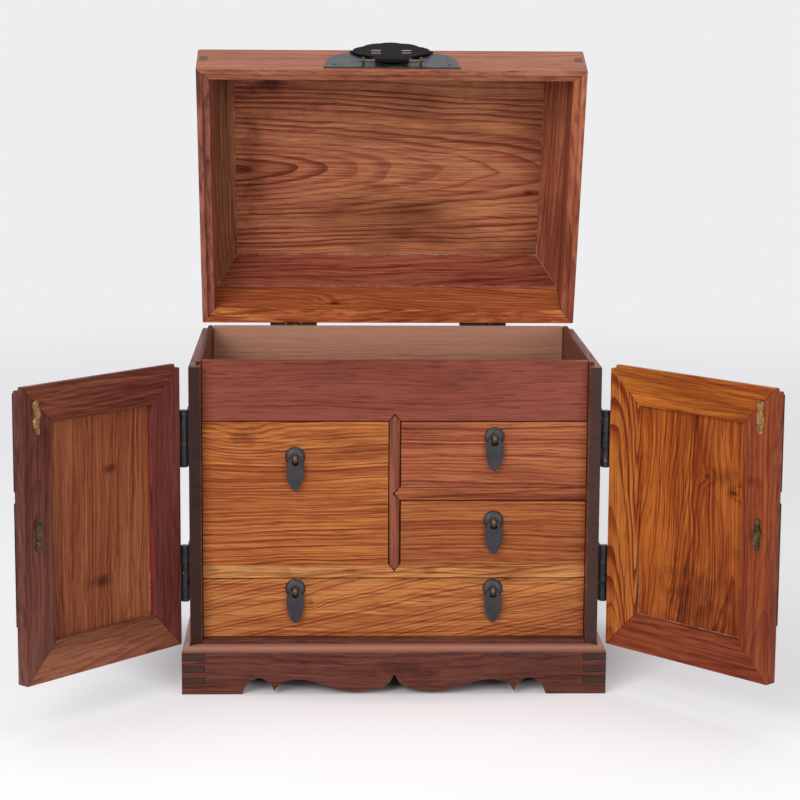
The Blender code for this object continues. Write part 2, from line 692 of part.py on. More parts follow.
def door_frame_piece(length, place, inward, pivot, holes=()):
    """A mitred frame piece with its top rebated for the lid's lip, and holes for the split pins."""
    piece = lay(mitred(frame_section, length), place, inward, (0, -1, 0))
    rebate = block(
        (-HALF - 0.01, DOOR_OUTER - 0.001, RIM),
        (HALF + 0.01, DOOR_OUTER + LID_LIP + PLAY, TONGUE_TOP + 0.001),
    )
    cheek_x = math.copysign(HALF - LID_LIP - PLAY, place[0])
    cheek = block(
        (min(cheek_x, 3 * cheek_x), DOOR_OUTER - 0.001, RIM),
        (max(cheek_x, 3 * cheek_x), DOOR_INNER + 0.001, TONGUE_TOP + 0.001),
    )
    tools = [rebate, cheek]
    for x, z in holes:
        tools.append(rod((x, DOOR_OUTER - 0.002, z), (x, DOOR_INNER + 0.002, z), STAPLE_WIRE + GAP, 12))
    return work(piece, ride(tools, pivot), "DIFFERENCE")


def door_plate(outline, base_z, x, z, pivot):
    """An iron plate with a split pin: eye in front, shank through the door, legs bent apart inside."""
    plate = lay(slab([outline], PLATE_T), (0, plate_y(DOOR_OUTER), base_z), (1, 0, 0), (0, 0, 1))
    leg_y = DOOR_INNER + GAP + STAPLE_WIRE
    eye_y = DOOR_OUTER - GAP - PLATE_T - STAPLE_R - 0.23 * STAPLE_WIRE
    eye = ring((x, eye_y, z), STAPLE_R, STAPLE_WIRE)
    shank = rod((x, DOOR_OUTER - GAP - PLATE_T - 0.0006, z), (x, leg_y, z), 0.9 * STAPLE_WIRE, 12)
    taper = ((1, 0.21), (0.8, 0.57), (0.55, 0.9), (0, 1))
    legs = [(LEG_HALF_W * across, LEG_UP * along) for across, along in taper]
    legs += [(-dx, dz) for dx, dz in reversed(legs[:-1])]
    low = [(-LEG_HALF_W * across, -LEG_DOWN * along) for across, along in taper[1:]]
    legs += low + [(-dx, dz) for dx, dz in reversed(low[:-1])]
    spread = lay(slab([legs], 1.7 * STAPLE_WIRE), (x, leg_y, z), (1, 0, 0), (0, 0, 1))
    return work(plate, ride([eye, shank, spread], pivot), "UNION")


def make_door(side, name):
    """One door, modelled shut. side is -1 on the left."""
    hinge_x = side * (HALF + door_stand)
    pivot = make_pivot(name + "_pivot", (hinge_x, FRONT - GAP / 2, 0))
    outer_x, free_x = side * HALF, side * GAP
    mid_x = (outer_x + free_x) / 2
    staple_x = side * STAPLE_X
    holes = [(staple_x, UPPER_STAPLE_Z), (staple_x, LOWER_STAPLE_Z)]
    for piece_name, length, place, inward, pins in (
        ("_hinge_stile", door_height, (outer_x, DOOR_INNER, door_mid_z), (-side, 0, 0), ()),
        ("_meeting_stile", door_height, (free_x, DOOR_INNER, door_mid_z), (side, 0, 0), holes),
        ("_top_rail", door_width, (mid_x, DOOR_INNER, TONGUE_TOP), (0, 0, -1), ()),
        ("_bottom_rail", door_width, (mid_x, DOOR_INNER, DOOR_BOTTOM), (0, 0, 1), ()),
    ):
        settle(door_frame_piece(length, place, inward, pivot, pins), name + piece_name, RED, pivot)

    edge = FRAME_W - GROOVE_DEPTH + 2 * GAP
    panel_y = DOOR_INNER - GROOVE_IN - GAP
    thin = GROOVE_T - 2 * GAP
    low_x, high_x = min(outer_x, free_x), max(outer_x, free_x)
    panel = block(
        (low_x + edge, panel_y - thin, DOOR_BOTTOM + edge), (high_x - edge, panel_y, TONGUE_TOP - edge)
    )
    field = FRAME_W + GAP
    raised = block(
        (low_x + field, DOOR_OUTER + PANEL_RECESS, DOOR_BOTTOM + field),
        (high_x - field, panel_y - thin / 2, TONGUE_TOP - field),
    )
    settle(work(panel, ride([raised], pivot), "UNION"), name + "_panel", HONEY, pivot)

    top_z = RIM - DOOR_PLATE_GAP
    curve = [(side * max(x, GAP), -z) for x, z in lock_outline(DOOR_PLATE_DROP, 3.4)]
    plate = door_plate(curve + [(side * GAP, 0)], top_z, staple_x, UPPER_STAPLE_Z, pivot)
    settle(plate, name + "_upper_plate", IRON, pivot)
    curve = []
    for step in range(17):
        angle = math.pi * (step / 16 - 0.5)
        curve.append((side * (GAP + LOWER_PLATE_R * math.cos(angle)), LOWER_PLATE_R * math.sin(angle)))
    plate = door_plate(curve, LOWER_PLATE_Z, staple_x, LOWER_STAPLE_Z, pivot)
    settle(plate, name + "_lower_plate", IRON, pivot)

    for spot, z in (("upper", upper_hinge_z), ("lower", lower_hinge_z)):
        place = (hinge_x, FRONT - GAP / 2, z)
        leaf = hinge_leaf(DOOR_HINGE_H, DOOR_KNUCKLE_R, CASE_LEAF_W, door_stand, True, case)
        hang_leaf(leaf, place, (-side, 0, 0), (0, 1, 0), "door_hinge_case_" + name[5:] + "_" + spot, case)
        leaf = hinge_leaf(DOOR_HINGE_H, DOOR_KNUCKLE_R, DOOR_T - 2 * GAP, door_stand, False, pivot)
        hang_leaf(leaf, place, (-side, 0, 0), (0, -1, 0), name + "_hinge_" + spot, pivot)
    return pivot


doors = {-1: make_door(-1, "door_left"), 1: make_door(1, "door_right")}


# Drawers: open trays behind their fronts, each with a rosette, an eye and a swinging drop.
def make_pull(name, x, z, pivot):
    """A domed rosette with an eye, and a leaf-shaped drop that turns in the eye."""
    face = DRAWER_FACE - GAP
    eye_place = Vector((x, DRAWER_FACE - EYE_OUT, z - EYE_DROP))
    dome = bmesh.new()
    profile = [dome.verts.new((0, 0, ROSETTE_RISE))]
    for step in range(1, 7):
        angle = math.pi / 2 * step / 6
        height = ROSETTE_EDGE + (ROSETTE_RISE - ROSETTE_EDGE) * math.cos(angle)
        profile.append(dome.verts.new((ROSETTE_R * math.sin(angle), 0, height)))
    profile.append(dome.verts.new((ROSETTE_R, 0, 0)))
    profile.append(dome.verts.new((0, 0, 0)))
    for upper, lower in zip(profile, profile[1:]):
        dome.edges.new((upper, lower))
    mesh = bpy.data.meshes.new("rosette")
    dome.to_mesh(mesh)
    dome.free()
    turned = bpy.data.objects.new("rosette", mesh)
    pieces.objects.link(turned)
    spin = turned.modifiers.new("turned", "SCREW")
    spin.steps = 20
    spin.render_steps = 20
    spin.use_merge_vertices = True
    spin.merge_threshold = 0.00005
    bpy.context.view_layer.update()
    solid = bpy.data.meshes.new_from_object(turned.evaluated_get(bpy.context.evaluated_depsgraph_get()))
    bpy.data.objects.remove(turned)
    shape = bmesh.new()
    shape.from_mesh(solid)
    bmesh.ops.remove_doubles(shape, verts=shape.verts, dist=0.00001)
    rosette = lay(from_bmesh(shape), (x, face, z), (1, 0, 0), (0, 0, 1))
    rosette.data.shade_smooth()
    work(rosette, ride([ring(eye_place, EYE_R, EYE_WIRE)], pivot), "UNION")
    settle(rosette, "pull_rosette_" + name, IRON, pivot)

    swing = make_pivot("pull_pivot_" + name, eye_place, pivot)
    half = []
    for step in range(1, 4):  # round head
        angle = math.pi / 2 * step / 3
        half.append((DROP_HEAD_HALF * math.sin(angle), DROP_TOP - 2 * DROP_TOP * (1 - math.cos(angle))))
    half.append((DROP_HEAD_HALF + 0.3 * (DROP_HALF_W - DROP_HEAD_HALF), -0.8 * DROP_SHOULDER))
    for step in range(9):  # shoulder to tip
        down = DROP_SHOULDER + (DROP_LENGTH - DROP_SHOULDER) * math.sin(math.pi / 2 * step / 9)
        off = (down - DROP_BROAD) / (DROP_LENGTH - DROP_BROAD)
        half.append((DROP_HALF_W * (1 - off**2) ** 0.75, -down))
    leaf = [(0, DROP_TOP)] + half + [(0, -DROP_LENGTH)] + [(-dx, dz) for dx, dz in reversed(half)]
    hole = []
    for step in range(12):
        angle = 2 * math.pi * step / 12
        down = DROP_TOP + DROP_HOLE_H / 2 * (1 - math.sin(angle))
        hole.append((DROP_HOLE_W / 2 * math.cos(angle), -down))
    drop = lay(slab([leaf, hole], DROP_T), eye_place, (1, 0, 0), (0, 0, 1))
    settle(drop, "pull_drop_" + name, IRON, swing)


def make_drawer(name, low_x, high_x, low_z, high_z, pulls):
    """An open-topped drawer that fills its bay, with a pull at each given X."""
    low_x, high_x, low_z, high_z = low_x + PLAY, high_x - PLAY, low_z + GAP, high_z - PLAY
    pivot = make_pivot("drawer_pivot_" + name, ((low_x + high_x) / 2, DRAWER_FACE, (low_z + high_z) / 2))
    end = INSIDE_BACK - DRAWER_BACK_GAP
    drawer = block((low_x, DRAWER_FACE, low_z), (high_x, end, high_z))
    hollow = block(
        (low_x + DRAWER_WALL, DRAWER_FACE + DRAWER_FRONT_T, low_z + DRAWER_FLOOR),
        (high_x - DRAWER_WALL, end - DRAWER_WALL, high_z + 0.01),
    )
    settle(work(drawer, ride([hollow], pivot), "DIFFERENCE"), "drawer_" + name, HONEY, pivot)
    for pull_name, x in pulls:
        make_pull(pull_name, x, high_z + PLAY - PULL_BELOW[name], pivot)


make_drawer("left", -INNER, -DIVIDER_T / 2, SHELF_TOP, BAYS_TOP, [("left", -PULL_X)])
make_drawer("right_upper", DIVIDER_T / 2, INNER, RAIL_TOP, BAYS_TOP, [("right_upper", PULL_X)])
make_drawer("right_lower", DIVIDER_T / 2, INNER, SHELF_TOP, RAIL_BOTTOM, [("right_lower", PULL_X)])
bottom_pulls = [("bottom_left", -PULL_X), ("bottom_right", PULL_X)]
make_drawer("bottom", -INNER, INNER, BASE_TOP, SHELF_BOTTOM, bottom_pulls)

# Stood open: the lid leans back, the hasp lies on the lid and the doors swing wide.
lid.rotation_euler.x = -math.radians(LID_OPEN)
hasp_pivot.rotation_euler.x = -math.radians(HASP_OPEN)
doors[-1].rotation_euler.z = -math.radians(DOOR_OPEN)
doors[1].rotation_euler.z = math.radians(DOOR_OPEN)
bpy.context.view_layer.update()
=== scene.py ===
"""A rosewood desktop chest, open: lid tipped back, doors swung wide, four drawers with iron drop pulls."""

import json
import math

import bmesh
import bpy
from mathutils import Matrix, Vector, noise


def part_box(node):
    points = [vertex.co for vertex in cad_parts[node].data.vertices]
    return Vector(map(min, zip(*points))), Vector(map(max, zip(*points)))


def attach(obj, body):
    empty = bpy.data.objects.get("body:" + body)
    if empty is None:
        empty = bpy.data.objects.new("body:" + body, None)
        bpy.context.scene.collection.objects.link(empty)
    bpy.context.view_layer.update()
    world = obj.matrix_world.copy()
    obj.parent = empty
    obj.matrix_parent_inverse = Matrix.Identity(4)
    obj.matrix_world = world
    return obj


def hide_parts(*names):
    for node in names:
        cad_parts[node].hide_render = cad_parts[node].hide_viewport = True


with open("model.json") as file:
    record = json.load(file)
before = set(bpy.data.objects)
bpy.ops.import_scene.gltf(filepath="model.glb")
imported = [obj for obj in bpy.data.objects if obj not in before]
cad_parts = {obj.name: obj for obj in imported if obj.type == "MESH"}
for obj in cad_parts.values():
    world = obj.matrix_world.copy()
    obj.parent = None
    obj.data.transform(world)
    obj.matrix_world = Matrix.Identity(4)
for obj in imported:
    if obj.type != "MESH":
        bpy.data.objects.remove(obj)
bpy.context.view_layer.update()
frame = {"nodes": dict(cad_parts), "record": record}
behaviour = frame["record"]["behaviour"]
body_of = {node: body for body, nodes in behaviour["bodies"].items() for node in nodes}
joint_at = {joint["child"]: Vector(joint["pos_m"]) for joint in behaviour["joints"] if "pos_m" in joint}

# Plinth
# Four moulded rosewood boards, finger-jointed at the corners, with a cusped apron sawn between the feet.
# Hand-planed and oiled: dark red-brown long grain, nearly black where the fingers show end grain.


def linear(colour):
    """An sRGB hex colour as linear RGBA."""
    parts = [int(colour[i : i + 2], 16) / 255 for i in (0, 2, 4)]
    return tuple(c / 12.92 if c <= 0.04045 else ((c + 0.055) / 1.055) ** 2.4 for c in parts) + (1.0,)


def add(tree, kind, links=(), values=(), **settings):
    """Add a node with its settings, its socket values and links from other nodes' sockets."""
    node = tree.nodes.new(kind)
    for name, value in settings.items():
        setattr(node, name, value)
    for name, value in dict(values).items():
        node.inputs[name].default_value = value
    for name, (source, socket) in dict(links).items():
        tree.links.new(source.outputs[socket], node.inputs[name])
    return node


def fresh(name):
    """A new material, its node tree and its shader."""
    material = bpy.data.materials.new(name)
    material.use_nodes = True
    return material, material.node_tree, material.node_tree.nodes["Principled BSDF"]


def oiled_rosewood(name, tones, grain, pith=(0, 0.03, 0.02), tilt=(0, 2, 1), pose=Matrix(), **figure):
    """Oiled rosewood: growth rings of the trunk it was sawn from, dark streaks, fibres, pores and smudges.

    tones are the late wood, the ground and the early wood. grain is the board's long axis with the chest
    shut, face the axis that its broad side looks along, and pose is how the open chest holds it. Rings lie
    about 5 mm apart, streaks are 3 mm wide and fibres 1.1 mm. Real pores are 0.2 mm wide, and are drawn at
    1 mm so that they show. knots are dark spots, for the wood's own knot marks and for painted
    shade: middle, half sizes, bulge of the rings, darkness. worn is painted light: the height
    from which the wood is painted paler, as if lit from above, where it is palest, and that colour.
    """
    look = {"rings": 200, "wander": 0.012, "lines": 0.35, "streak": 0.55, "fibre": 1.7, "cloud": 0.9}
    look.update({"smudge": 0.5, "shine": 0.4, "wax": 0.13, "ends": "4a3430", "ink": "7c5450"})
    look.update({"face": "Y", "knots": (), "worn": None}, **figure)
    wood, tree, shader = fresh(name)
    shut_pose = pose.inverted()
    place = add(tree, "ShaderNodeTexCoord")
    shut = add(tree, "ShaderNodeMapping", {"Vector": (place, "Object")})
    shut.inputs["Rotation"].default_value = shut_pose.to_euler()
    shut.inputs["Location"].default_value = shut_pose.to_translation()
    along = {"X": (0, 0, 0), "Y": (0, 0, -90), "Z": (0, 90, 0)}[grain]
    board = add(tree, "ShaderNodeMapping", {"Vector": (shut, "Vector")})
    board.inputs["Rotation"].default_value = [math.radians(a) for a in along]
    trunk = add(tree, "ShaderNodeMapping", {"Vector": (board, "Vector")}, {"Location": pith})
    trunk.inputs["Rotation"].default_value = [math.radians(a) for a in tilt]
    # slow wander of the grain, 70 mm across and four times as long
    slow = add(tree, "ShaderNodeMapping", {"Vector": (trunk, "Vector")}, {"Scale": (3.5, 14, 14)})
    drift = add(tree, "ShaderNodeTexNoise", {"Vector": (slow, "Vector")}, {"Scale": 1, "Detail": 3})
    middle = (0.5, 0.5, 0.5)
    centred = add(tree, "ShaderNodeVectorMath", {0: (drift, "Color")}, {1: middle}, operation="SUBTRACT")
    sway = (0, 2 * look["wander"], 2 * look["wander"])
    pull = add(tree, "ShaderNodeVectorMath", {0: (centred, "Vector")}, {1: sway}, operation="MULTIPLY")
    bent = add(tree, "ShaderNodeVectorMath", {0: (trunk, "Vector"), 1: (pull, "Vector")}, operation="ADD")
    run = add(tree, "ShaderNodeVectorMath", {0: (board, "Vector"), 1: (pull, "Vector")}, operation="ADD")
    flat = add(tree, "ShaderNodeVectorMath", {0: (bent, "Vector")}, {1: (0, 1, 1)}, operation="MULTIPLY")
    radius = add(tree, "ShaderNodeVectorMath", {0: (flat, "Vector")}, operation="LENGTH")
    phase = add(tree, "ShaderNodeMath", {0: (radius, "Value")}, {1: look["rings"]}, operation="MULTIPLY")
    # how many to a metre along the grain, into the board and across it: smudges of darker heartwood and
    # clouds of redder and more golden wood, 60 mm across, streaks 3 mm wide, fibres 1.1 mm, pores, and the
    # ragged edges of knot marks and of painted shade patches
    fields = {}
    for label, source, scale, detail, rough in (
        ("heart", bent, (4, 17, 17), 3, 0.55),
        ("cloud", bent, (3, 16, 16), 3, 0.55),
        ("streak", run, (4, 50, 310), 2, 0.6),
        ("fibre", run, (7, 110, 900), 3, 0.75),
        ("pore", run, (45, 400, 950), 1, 0.5),
        ("ragged", shut, (90, 90, 90), 2, 0.5),
    ):
        if look["face"] == "Z":
            scale = (scale[0], scale[2], scale[1])
        stretched = add(tree, "ShaderNodeMapping", {"Vector": (source, "Vector")}, {"Scale": scale})
        values = {"Scale": 1, "Detail": detail, "Roughness": rough}
        fields[label] = add(tree, "ShaderNodeTexNoise", {"Vector": (stretched, "Vector")}, values)
    values = {"From Min": 0.52, "From Max": 0.72, "To Max": look["smudge"]}
    dark = add(tree, "ShaderNodeMapRange", {"Value": (fields["heart"], "Fac")}, values)
    for spot, (wide, tall), bulge, darkness in look["knots"]:
        off = add(tree, "ShaderNodeVectorMath", {0: (shut, "Vector")}, {1: spot}, operation="SUBTRACT")
        shape = (1 / wide, 1 / tall, 0) if look["face"] == "Z" else (1 / wide, 0, 1 / tall)
        scaled = add(tree, "ShaderNodeVectorMath", {0: (off, "Vector")}, {1: shape}, operation="MULTIPLY")
        length = add(tree, "ShaderNodeVectorMath", {0: (scaled, "Vector")}, operation="LENGTH")
        links = {0: (fields["ragged"], "Fac"), 2: (length, "Value")}
        reach = add(tree, "ShaderNodeMath", links, {1: 1.6}, operation="MULTIPLY_ADD")
        values = {"From Min": 0.8, "From Max": 5.0, "To Min": bulge, "To Max": 0}
        links = {"Value": (reach, "Value")}
        swell = add(tree, "ShaderNodeMapRange", links, values, interpolation_type="SMOOTHERSTEP")
        phase = add(tree, "ShaderNodeMath", {0: (phase, "Value"), 1: (swell, "Result")}, operation="ADD")
        values = {"From Min": 0.8, "From Max": 2.0, "To Min": darkness, "To Max": 0}
        core = add(tree, "ShaderNodeMapRange", links, values, interpolation_type="SMOOTHSTEP")
        dark = add(tree, "ShaderNodeMath", {0: (dark, 0), 1: (core, "Result")}, operation="MAXIMUM")
    # each ring darkens slowly and ends sharply, and no two rings are equally strong
    saw = add(tree, "ShaderNodeMath", {0: (phase, "Value")}, operation="FRACT")
    links, values = {"Value": (saw, "Value")}, {"From Min": 0.35, "From Max": 0.95}
    late = add(tree, "ShaderNodeMapRange", links, values, interpolation_type="SMOOTHSTEP")
    year = add(tree, "ShaderNodeTexNoise", {"W": (phase, "Value")}, {"Scale": 0.47}, noise_dimensions="1D")
    values = {"From Min": 0.36, "From Max": 0.64}
    vigour = add(tree, "ShaderNodeMapRange", {"Value": (year, "Fac")}, values)
    lines = add(tree, "ShaderNodeMath", {0: (late, "Result"), 1: (vigour, "Result")}, operation="MULTIPLY")
    tone = add(tree, "ShaderNodeMath", {0: (lines, "Value")}, {1: -look["lines"]}, operation="MULTIPLY_ADD")
    spread = look["streak"] + look["fibre"] + look["cloud"]
    tone.inputs[2].default_value = 0.5 + 0.28 * look["lines"] - spread / 2
    for label in ("streak", "fibre", "cloud"):
        links = {0: (fields[label], "Fac"), 2: (tone, "Value")}
        tone = add(tree, "ShaderNodeMath", links, {1: look[label]}, operation="MULTIPLY_ADD")
    ramp = add(tree, "ShaderNodeValToRGB", {"Fac": (tone, "Value")})
    ramp.color_ramp.elements[0].position = 0.14
    ramp.color_ramp.elements[0].color = linear(tones[0])
    ramp.color_ramp.elements[1].position = 0.86
    ramp.color_ramp.elements[1].color = linear(tones[2])
    ramp.color_ramp.elements.new(0.5).color = linear(tones[1])
    values = {"From Min": 0.52, "From Max": 0.7, "To Max": 0.5}
    pores = add(tree, "ShaderNodeMapRange", {"Value": (fields["pore"], "Fac")}, values)
    # end grain drinks the oil and goes dark
    facing = add(tree, "ShaderNodeMapping", {"Vector": (place, "Normal")}, vector_type="NORMAL")
    facing.inputs["Rotation"].default_value = shut_pose.to_euler()
    ends = {"X": (1, 0, 0), "Y": (0, 1, 0), "Z": (0, 0, 1)}[grain]
    toward = add(tree, "ShaderNodeVectorMath", {0: (facing, "Vector")}, {1: ends}, operation="DOT_PRODUCT")
    size = add(tree, "ShaderNodeMath", {0: (toward, "Value")}, operation="ABSOLUTE")
    values = {"From Min": 0.8, "From Max": 0.97, "To Max": 0.88}
    end_grain = add(tree, "ShaderNodeMapRange", {"Value": (size, "Value")}, values)
    layers = [((dark, 0), look["ink"], "MULTIPLY"), ((pores, "Result"), "8a5442", "MULTIPLY")]
    # painted light: from a given height up, the wood is mixed towards a paler colour, as if lit from above
    if look["worn"]:
        low, high, rubbed_and_lit = look["worn"]
        height = add(tree, "ShaderNodeSeparateXYZ", {"Vector": (shut, "Vector")})
        values = {"From Min": low, "From Max": high, "To Max": 0.85}
        lit_top_mask = add(tree, "ShaderNodeMapRange", {"Value": (height, "Z")}, values)
        layers.append(((lit_top_mask, "Result"), rubbed_and_lit, "MIX"))
    layers.append(((end_grain, "Result"), look["ends"], "MIX"))
    colour = (ramp, "Color")
    for share, laid, mode in layers:
        links = {"Factor": share, "A": colour}
        over = add(tree, "ShaderNodeMix", links, data_type="RGBA", blend_type=mode)
        over.inputs["B"].default_value = linear(laid)
        colour = (over, "Result")
    tree.links.new(over.outputs["Result"], shader.inputs["Base Color"])
    shine = look["shine"]
    values = {"From Min": 0.3, "From Max": 0.7, "To Min": shine + 0.09, "To Max": shine - 0.05}
    gloss = add(tree, "ShaderNodeMapRange", {"Value": (fields["fibre"], "Fac")}, values)
    tree.links.new(gloss.outputs["Result"], shader.inputs["Roughness"])
    links = {0: (fields["fibre"], "Fac"), 1: (pores, "Result")}
    depth = add(tree, "ShaderNodeMath", links, operation="SUBTRACT")
    values = {"Strength": 0.14, "Distance": 0.0004}
    relief = add(tree, "ShaderNodeBump", {"Height": (depth, "Value")}, values)
    tree.links.new(relief.outputs["Normal"], shader.inputs["Normal"])
    shader.inputs["Specular IOR Level"].default_value = look["wax"]
    return wood


SHARP = math.radians(32)
# how far arrises are eased, from planed outer boards to thin inner ones, then forged metal and sheet iron
PLINTH_ARRIS, BOARD_ARRIS, SLIM_ARRIS, BOX_ARRIS, FLOOR_ARRIS = 0.0009, 0.0008, 0.0006, 0.0005, 0.0004
FORGED_ARRIS, SHEET_ARRIS = 0.0002, 0.0001


def linked(name, data):
    """A new object in the scene."""
    thing = bpy.data.objects.new(name, data)
    bpy.context.scene.collection.objects.link(thing)
    return thing


def as_mesh(shape, name, finishes=()):
    """A worked shape as a mesh, shaded smooth up to its sharp edges."""
    mesh = bpy.data.meshes.new(name)
    shape.to_mesh(mesh)
    shape.free()
    mesh.shade_smooth()
    mesh.set_sharp_from_angle(angle=SHARP)
    for finish in finishes:
        mesh.materials.append(finish)
    return mesh


def dress(node, finish, arris, name="", keep=(), widths=None):
    """The finished piece in place of its plain solid, with eased arrises.

    keep lists planes, as a point and the direction of what is cut away. widths gives each sharp edge its own
    easing from its two ends, up to arris.
    """
    shape = bmesh.new()
    shape.from_mesh(frame["nodes"][node].data)
    bmesh.ops.remove_doubles(shape, verts=shape.verts, dist=0.000002)
    bmesh.ops.dissolve_limit(shape, angle_limit=math.radians(1.5), verts=shape.verts, edges=shape.edges)
    for point, away in keep:
        everything = shape.verts[:] + shape.edges[:] + shape.faces[:]
        cut = bmesh.ops.bisect_plane(
            shape, geom=everything, plane_co=point, plane_no=away, clear_outer=True
        )
        rim = [item for item in cut["geom_cut"] if isinstance(item, bmesh.types.BMEdge)]
        bmesh.ops.holes_fill(shape, edges=rim)
        bmesh.ops.recalc_face_normals(shape, faces=shape.faces)
    if widths:
        weight = shape.edges.layers.float.new("bevel_weight_edge")
        for edge in shape.edges:
            if edge.is_manifold and edge.calc_face_angle() > SHARP:
                edge[weight] = widths(*(vertex.co for vertex in edge.verts)) / arris
    mesh = as_mesh(shape, name or node + "_finished")
    mesh.materials.clear()
    mesh.materials.append(finish)
    piece = linked(name or node + "_finished", mesh)
    ease = piece.modifiers.new("eased_arrises", "BEVEL")
    ease.width = arris
    ease.segments = 4 if arris > 0.002 else 2
    ease.limit_method = "WEIGHT" if widths else "ANGLE"
    ease.angle_limit = SHARP
    ease.harden_normals = True
    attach(piece, body_of[node])
    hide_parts(node)
    return piece


PLINTH_TONES = ("441f19", "5f352b", "764235")
PLINTH_HEART = ((0.01, -0.11, 0.022), (0.045, 0.01), 1.6, 0.55)
# painted highlight: the top of the plinth's ledge is painted paler, as if lit from above
LIT_LEDGE_HIGHLIGHT = (0.037, 0.0415, "b88270")
plinth_figure = {"streak": 0.35, "fibre": 1.3, "cloud": 1.4, "ends": "3e2c28", "worn": LIT_LEDGE_HIGHLIGHT}
plinth_long = oiled_rosewood(
    "plinth_rosewood_long",
    PLINTH_TONES,
    "X",
    (0.1, 0.13, 0.03),
    (0, 3, 4),
    knots=[PLINTH_HEART],
    **plinth_figure,
)
plinth_short = oiled_rosewood(
    "plinth_rosewood_short", PLINTH_TONES, "Y", (0.3, 0.06, 0.02), **plinth_figure
)
for node in ("plinth_front", "plinth_back"):
    dress(node, plinth_long, PLINTH_ARRIS)
for node in ("plinth_left", "plinth_right"):
    dress(node, plinth_short, PLINTH_ARRIS)

# Case boards
# Side boards with a tongue along the rim, a back board and a base board, all rosewood.
# The grain of the sides runs front to back, so their front edges are end grain, almost black with oil.
# The back is dry and dull; painted shade makes it darker low down, and it is paler along its upper edge.
back_wood = oiled_rosewood(
    "back_rosewood",
    ("845b47", "a27058", "b98a70"),
    "X",
    (0.5, 0.04, 0.2),
    (0, 1, 2),
    lines=0.2,
    streak=0.8,
    smudge=0.2,
    shine=0.6,
    # painted shade and light: darker tones below this height, paler above it
    worn=(0.25, 0.287, "c08c74"),
)
base_wood = oiled_rosewood("base_rosewood", ("4a261d", "6a3c30", "824c3c"), "X", (0.7, 0.1, 0.05))
# painted shade: the left side's front edge is painted darker than the right's
for node, ends in (("side_left", "211715"), ("side_right", "3a2b29")):
    side_wood = oiled_rosewood(
        node + "_rosewood", ("55291f", "744232", "8c5642"), "Y", (0.2, 0.03, 0.3), (0, 1, 3), ends=ends
    )
    dress(node, side_wood, BOARD_ARRIS)
dress("back_board", back_wood, BOARD_ARRIS)
dress("base_board", base_wood, BOX_ARRIS)

# Shelf, divider and rail
# Thin boards between the drawers, spear-pointed where one runs into the next, with rounded front edges.
# Pale golden sapwood shows along the shelf.
BEAD, SPEAR_BEAD, FLUSH, ASKEW = 0.0024, 0.0009, 0.0002, 0.001
RAIL_END, DRAWER_FACE = 0.168, -0.0848
SHELF_MIDDLE, SPOT_X, SPOT_SIZE = 0.106, (-0.16, -0.095, -0.04, 0.03, 0.11), (0.010, 0.005)
shelf_spots = [((x, DRAWER_FACE, SHELF_MIDDLE), SPOT_SIZE, 0, 0.45) for x in SPOT_X]
shelf_wood = oiled_rosewood(
    "shelf_rosewood",
    ("894521", "b4733f", "db9e60"),
    "X",
    (0.3, 0.02, 0.3),
    (0, 6, 4),
    cloud=1.8,
    knots=shelf_spots,
)
divider_wood = oiled_rosewood("divider_rosewood", ("6e3424", "8c4c37", "a4644a"), "Z", (0.1, 0.02, 0.04))
rail_wood = oiled_rosewood(
    "rail_rosewood", ("712e1e", "974c31", "c0763e"), "X", (0.4, 0.02, 0.1), (0, 4, 3), cloud=1.4
)


def bead(a, b):
    """The rounding of a front edge: less at a spear point, none where the rail meets the case."""
    askew = min(abs(a.x - b.x), abs(a.z - b.z)) > ASKEW
    if max(a.y, b.y) > DRAWER_FACE + FLUSH or min(a.x, b.x) > RAIL_END:
        return 0
    return SPEAR_BEAD if askew else BEAD


dress("drawer_shelf", shelf_wood, SLIM_ARRIS)
dress("drawer_divider", divider_wood, BEAD, widths=bead)
dress("drawer_rail", rail_wood, BEAD, widths=bead)

# Tray
# An open tray under the lid: a broad front board and a thin floor over the drawers.
# The front is the reddest board of the chest, with hardly any figure.
tray_wood = oiled_rosewood(
    "tray_rosewood",
    ("713429", "894738", "9b5745"),
    "X",
    (0.8, 0.05, 0.11),
    (0, 1, 1),
    lines=0.2,
    streak=0.4,
    fibre=0.9,
    smudge=0.6,
    ink="86605e",
)
floor_wood = oiled_rosewood(
    "tray_floor_rosewood", ("6e4a3a", "8c6653", "a27c68"), "X", (0.2, 0.3, 0.06), lines=0.3, shine=0.6
)
dress("tray_front", tray_wood, PLINTH_ARRIS)
dress("tray_floor", floor_wood, FLOOR_ARRIS)

